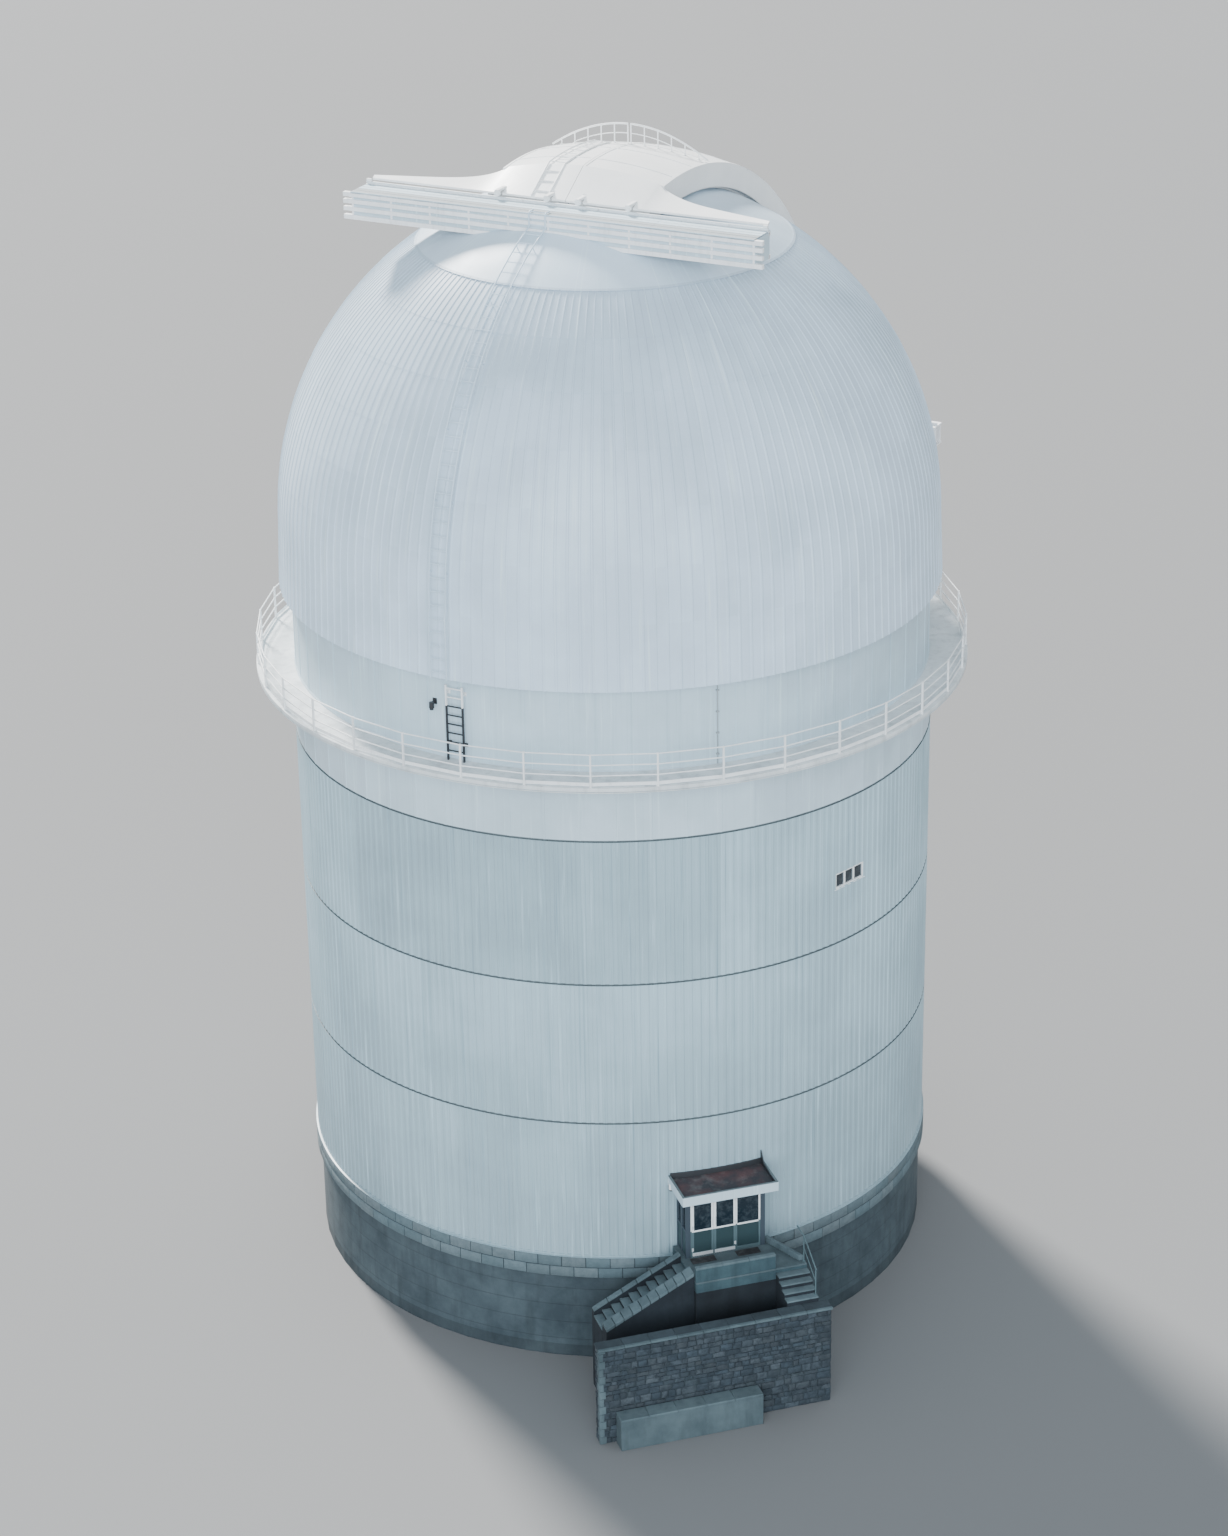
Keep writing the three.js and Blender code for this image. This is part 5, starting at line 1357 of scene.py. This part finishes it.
def ladder_run(piece, path, centre, bar=0.022, rung=0.014):
    """Two round side bars along a line of (y, z) places, with round rungs between them."""
    pitch = 0.4
    sides = (centre - LADDER_HALF, centre + LADDER_HALF)
    for x in sides:
        piece.tube([(x, y, z) for y, z in path], bar)
    left = pitch / 2
    for (y0, z0), (y1, z1) in zip(path, path[1:]):
        length = math.hypot(y1 - y0, z1 - z0)
        while left < length:
            y = y0 + (y1 - y0) * left / length
            z = z0 + (z1 - z0) * left / length
            piece.tube([(x, y, z) for x in sides], rung, 6)
            left += pitch
        left -= length


def make_dome_ladder():
    """A ladder over the dome's back and up the beam's rear face."""
    ladder = Piece("dome_back_ladder", CAP, DOME)
    centre = -0.30
    stand = 0.132
    radius = DOME_OUT + stand
    rear = BEAM_LOW.y - 0.04

    def over(radius, angle):
        return -radius * math.cos(angle), radius * math.sin(angle)

    path = [(-SKIRT_OUT - stand, DOME_EDGE - DOME_CENTRE + 0.04), (-SKIRT_OUT - stand, -0.1)]
    path += [over(radius, a) for a in spread(0.02, math.acos(-rear / radius), 36)]
    path += [(rear, BEAM_TOP + 0.02), (rear + 0.06, BEAM_TOP + 0.07), (rear + 0.3, BEAM_TOP + 0.07)]
    ladder_run(ladder, path, centre)
    for i in range(6):
        a = 0.12 + 0.2 * i
        for x in (centre - LADDER_HALF, centre + LADDER_HALF):
            ladder.strut((x, *over(DOME_OUT - 0.03, a)), (x, *over(radius, a)), 0.03, 0.012, (1, 0, 0))
    ladder.build("dome", "light_paint", "dome_ladder", smooth=45)


# Shutters: the right leaf is drawn, and the left leaf is its mirror image

HANDS = (("right", DOME), ("left", DOME @ Matrix.Scale(-1, 4, (1, 0, 0))))
SHUTTER_HALF = 2.6
SHUTTER_RADIUS = 10.8
SHUTTER_THICK = 0.12
SHUTTER_REAR = -2.3
SHUTTER_FOOT = 0.26
FLANK_FOOT = 9.76
SEAM = 0.01
TROLLEYS = (0.5, 2.1)
ARM_HALF = 0.06
ARM_FRONT = -2.18

HOOD_HALF = 6.35
HOOD_REAR = -2.45
HOOD_FOOT = 9.99
HOOD_THICK = 0.06
HOOD_SHOULDER = 2.4              # from here outwards its ridge leaves the leaf's crown
RIDGE_Y = -1.3
RIDGE_END_Y = -2.35
RIDGE_END_Z = 10.05
FLARE = 6


def crown_line(end, depth=0.0):
    """A leaf's crown in (x, radius), from the seam between the leaves outwards."""
    return [(x, on_sphere(SHUTTER_RADIUS, x) - depth) for x in spread(SEAM, end, 8)]


def shutter_shapes(leaf):
    """A leaf's shell: skin, flank and rear plate, with standing seams and edge strips."""
    flank = SHUTTER_HALF - SHUTTER_THICK
    skin = 0.016
    seat = skin + 0.003
    edge = on_sphere(SHUTTER_RADIUS, SHUTTER_HALF)
    crest = crown_line(SHUTTER_HALF)

    def lengthwise(section):
        leaf.loft(bent(section, 110, SHUTTER_FOOT, SHUTTER_REAR))

    def crosswise(section, angle, half):
        leaf.loft([[(x, *polar(r, a)) for x, r in section] for a in (angle - half, angle + half)])

    lengthwise([*crown_line(SHUTTER_HALF, skin), (SHUTTER_HALF, FLANK_FOOT), (flank, FLANK_FOOT),
                *reversed(crown_line(flank, SHUTTER_THICK))])
    for a in spread(0.05, math.acos(SHUTTER_REAR / SHUTTER_RADIUS) - 0.04, 14):
        crosswise([*crest, *((x, r - seat) for x, r in reversed(crest))], a, 0.0032)
    for x0, x1 in ((SEAM, SEAM + 0.07), (SHUTTER_HALF - 0.09, SHUTTER_HALF)):
        r0, r1 = on_sphere(SHUTTER_RADIUS, x0), on_sphere(SHUTTER_RADIUS, x1)
        lengthwise([(x0, r0), (x1, r1), (x1, r1 - seat), (x0, r0 - seat)])
    lengthwise(block(SHUTTER_HALF - 0.19, SHUTTER_HALF, FLANK_FOOT, FLANK_FOOT + 0.02))
    for a in spread(0.08, 1.74, 23):
        crosswise(block(SHUTTER_HALF - 0.01, SHUTTER_HALF - 0.001, FLANK_FOOT + 0.03, edge - 0.03), a, 0.003)

    rear, foot = SHUTTER_REAR, SHUTTER_FOOT
    top = [(x, on_sphere(SHUTTER_RADIUS, x, rear) - 0.02) for x in spread(SEAM, SHUTTER_HALF, 10)]
    under = [(x, on_sphere(DOME_OUT + 0.063, x, rear)) for x in spread(SHUTTER_HALF, SEAM, 10)]
    leaf.draw([*top, *under], "y", rear + 0.004, rear + SHUTTER_THICK - 0.004)
    sill = [(x, on_sphere(SHUTTER_RADIUS, x, foot) - 0.02) for x, _ in reversed(crest)]
    leaf.draw([(SEAM, 10.3), (SHUTTER_HALF, 10.3), *sill], "z", foot + 0.001, foot + 0.098)


def hood_ridge(x):
    """The Y and Z of the hood's ridge at an X. It falls from the crown towards the beam's end."""
    shoulder = min(x, HOOD_SHOULDER)
    crown = on_sphere(SHUTTER_RADIUS, shoulder, RIDGE_Y)
    share = (x - shoulder) / (HOOD_HALF - HOOD_SHOULDER)
    y = RIDGE_Y + share * (RIDGE_END_Y - RIDGE_Y)
    return y, RIDGE_END_Z + (crown - RIDGE_END_Z) * (1 - share) ** FLARE


def hood_rings(section):
    """Sections along X, closer together where the ridge falls fastest."""
    xs = spread(SEAM, HOOD_SHOULDER, 12)
    xs += [HOOD_SHOULDER + (HOOD_HALF - HOOD_SHOULDER) * s ** 1.5 for s in spread(0.0, 1.0, 24)[1:]]
    return [section(x, *hood_ridge(x)) for x in xs]


def over_hood(place):
    """What lies above the hood's underside, to trim the leaf below it."""
    back = HOOD_REAR - 0.1
    foot = HOOD_FOOT - HOOD_THICK
    cutter = Piece("cutter", SHUTTER, place)
    cutter.loft(hood_rings(lambda x, y, z: [(x - 0.001, v, w) for v, w in (
        (back, foot), (HOOD_REAR, foot), (y, z - HOOD_THICK), (y, FAR), (back, FAR))]))
    return cutter


def make_shutters():
    """Each leaf's shell, the hood that falls from its crown to the beam, and the wheels that carry it."""
    for hand, place in HANDS:
        body = f"{hand}_shutter"
        leaf = Piece(f"{hand}_leaf", SHUTTER, place)
        shutter_shapes(leaf)
        leaf.build(body, "white_sheet", body, bevel=0.004, smooth=30, cut=(over_hood(place),))

        hood = Piece(f"{hand}_hood_sheet", SHUTTER, place)
        hood.loft(hood_rings(lambda x, y, z: [(x, v, w) for v, w in (
            (HOOD_REAR, HOOD_FOOT - HOOD_THICK), (y, z - HOOD_THICK), (y, z), (HOOD_REAR, HOOD_FOOT))]))
        notches = Piece("cutter", SHUTTER, place)
        wheels = Piece(f"{hand}_leaf_wheels", WHITE, place)
        for x in TROLLEYS:
            notches.box(x - ARM_HALF, x + ARM_HALF, HOOD_REAR - 0.1, ARM_FRONT, 9.0, 12.0)
            for y in (TRACK_Y - 0.052, TRACK_Y + 0.040):
                wheels.box(x - 0.05, x + 0.05, y, y + 0.012, TRACK_TOP + 0.03, TRACK_TOP + 0.19)
            wheels.box(x - ARM_HALF + 0.002, x + ARM_HALF - 0.002, TRACK_Y - 0.058, ARM_FRONT - 0.002,
                       TRACK_TOP + 0.124, TRACK_TOP + 0.198)
            for y, z, radius in ((TRACK_Y, TRACK_TOP + 0.1, 0.099),
                                 (LOWER_TRACK_Y, LOWER_HIGH.z + 0.06, 0.059)):
                wheels.drum(radius, (x, y, z), "y", 0.066, 28)
                wheels.drum(radius * 0.3, (x, y, z), "y", 0.13, 12)
        hood.build(body, "white_sheet", f"{hand}_hood", smooth=40, cut=(notches,))
        wheels.build(body, "galvanised", bevel=0.003)


def make_leaf_ladder():
    """The ladder goes on over the left leaf, up its hood and along its crown to the guard rail."""
    centre = -0.85
    stand = 0.03
    ladder = Piece("leaf_ladder", WHITE, DOME)
    ridge, crown = hood_ridge(-centre)
    radius = math.hypot(ridge, crown) + stand
    path = [(HOOD_REAR + 0.02, HOOD_FOOT + stand)]
    start, stop = math.acos((ridge + 0.02) / radius), math.acos(1.62 / radius)
    path += [polar(radius, a) for a in spread(start, stop, 14)]
    ladder_run(ladder, path, centre, 0.026, 0.018)
    ladder.build("left_shutter", "light_paint", smooth=45)


def make_crest_rails():
    """An arched guard rail across the crown, half of it on each leaf."""
    y = 1.7
    bar = 0.028
    rise, fall = 0.62, 0.88

    def base(x):
        return on_sphere(SHUTTER_RADIUS, x, y)

    def top(x):
        return base(0) + rise - fall * (x / SHUTTER_HALF) ** 2 - bar - 0.001

    xs = spread(4 * SEAM, SHUTTER_HALF - 0.05, 24)
    for hand, place in HANDS:
        rail = Piece(f"{hand}_guard_rail", WHITE, place)
        rail.tube([(x, y, top(x)) for x in xs if top(x) > base(x)], bar, 12)
        rail.tube([(x, y, top(x) - 0.28) for x in xs if top(x) - 0.30 > base(x)], 0.014)
        for x in spread(0.05, 2.25, 5):
            rail.tube([(x, y, base(x) - 0.01), (x, y, top(x))], 0.020, 10)
            rail.drum(0.05, (x, y, base(x) + 0.002), "z", 0.014, 16)
        rail.build(f"{hand}_shutter", "galvanised", f"{hand}_crest_rail", smooth=45)


def dress_cad_nodes():
    """Nodes whose shape is right keep it and get a finish."""
    looks = {"foundation_raft": CONCRETE, "ground_floor": SCREED, "upper_floor": SCREED,
             "observing_floor": SCREED, "azimuth_rail": STEEL, "dome_base_ring": PAINT}
    for node, look in looks.items():
        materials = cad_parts[node].data.materials
        materials.clear()
        materials.append(look)


# Stage

CAMERA_PLACE = Vector((0.0, -102.22, 61.10))
CAMERA_ROLL = math.radians(0.98)
AIM = Vector((0.0, -1.0, 15.8))
CENTRE = Vector((0, 0, 18))
FILL = 0.88                      # share of the picture's height that the object takes
LONG_SIDE = 36.0


def aimed(name, data, place, aim):
    """An object at a place that looks towards an aim."""
    thing = shown(bpy.data.objects.new(name, data))
    thing.location = place
    thing.rotation_mode = "QUATERNION"
    thing.rotation_quaternion = (Vector(aim) - Vector(place)).to_track_quat("-Z", "Y")
    return thing


def make_camera():
    """The camera stands where the photograph was taken and looks at the object through a longer lens."""
    data = bpy.data.cameras.new("camera")
    camera = aimed("camera", data, CAMERA_PLACE, AIM)
    camera.rotation_quaternion @= Matrix.Rotation(-CAMERA_ROLL, 3, "Z").to_quaternion()
    back = camera.rotation_quaternion.to_matrix().inverted()
    rim = 10.4
    levels = (0.6, 22.0, CAD_BOX[1].z - 1.2)
    quarters = (0.0, math.pi, math.pi / 2, -math.pi / 2)
    corners = [back @ (Vector(around(rim, a, z)) - CAMERA_PLACE) for z in levels for a in quarters]
    data.sensor_width = LONG_SIDE
    data.lens = LONG_SIDE / 2 * FILL / max(abs(p.y / p.z) for p in corners)
    data.clip_end = 2000.0
    bpy.context.scene.camera = camera


def add_sun(name, energy, place, colour, spread_angle):
    data = bpy.data.lights.new(name, "SUN")
    data.energy = energy
    data.color = colour
    data.angle = math.radians(spread_angle)
    aimed(name, data, place, CENTRE)


def make_stage():
    floor = Piece("studio_floor", floor_look())
    half = 900.0
    floor.box(-half, half, -half, half, -0.5, -0.002)
    shown(bpy.data.objects.new("studio_floor", floor.mesh()))
    world = bpy.data.worlds.new("studio")
    world.use_nodes = True
    sky = world.node_tree.nodes["Background"]
    sky.inputs["Color"].default_value = (0.85, 0.93, 1.0, 1)
    sky.inputs["Strength"].default_value = 1.0
    bpy.context.scene.world = world
    add_sun("key", 12.5, (-40, 76, 80), (1.0, 0.97, 0.93), 10)
    add_sun("fill", 4.8, (-6, -80, 30), (0.82, 0.92, 1.0), 60)


make_camera()
make_stage()
make_tower_wall()
make_claddings()
make_tier_joints()
make_plinth()
make_drum()
make_deck()
make_railing("right", 0)
make_railing("left", POSTS // 2)
make_gallery_ladder()
make_lamp("drum_lamp", math.radians(-31.4), DECK_TOP + 1.66, WALL_OUT, BLACK)
make_lamp("porch_lamp", math.radians(8.6), 6.15, SHEET_OUT, WHITE)
make_window()
make_porch_sides()
make_porch_roof()
make_fascia()
make_door_frame()
make_door_leaf("left", -1)
make_door_leaf("right", 1)
make_landing()
make_stairs()
make_sloped_wall("left_stair_parapet", "left_flight_wall", 0.10, 10)
make_sloped_wall("left_stair_kerb", "left_flight_kerb", 0.06, 6)
make_handrail()
make_stone_base()
make_gores()
make_crown()
make_coaming()
make_upper_beam()
make_lower_beam()
make_dome_ladder()
make_shutters()
make_leaf_ladder()
make_crest_rails()
dress_cad_nodes()
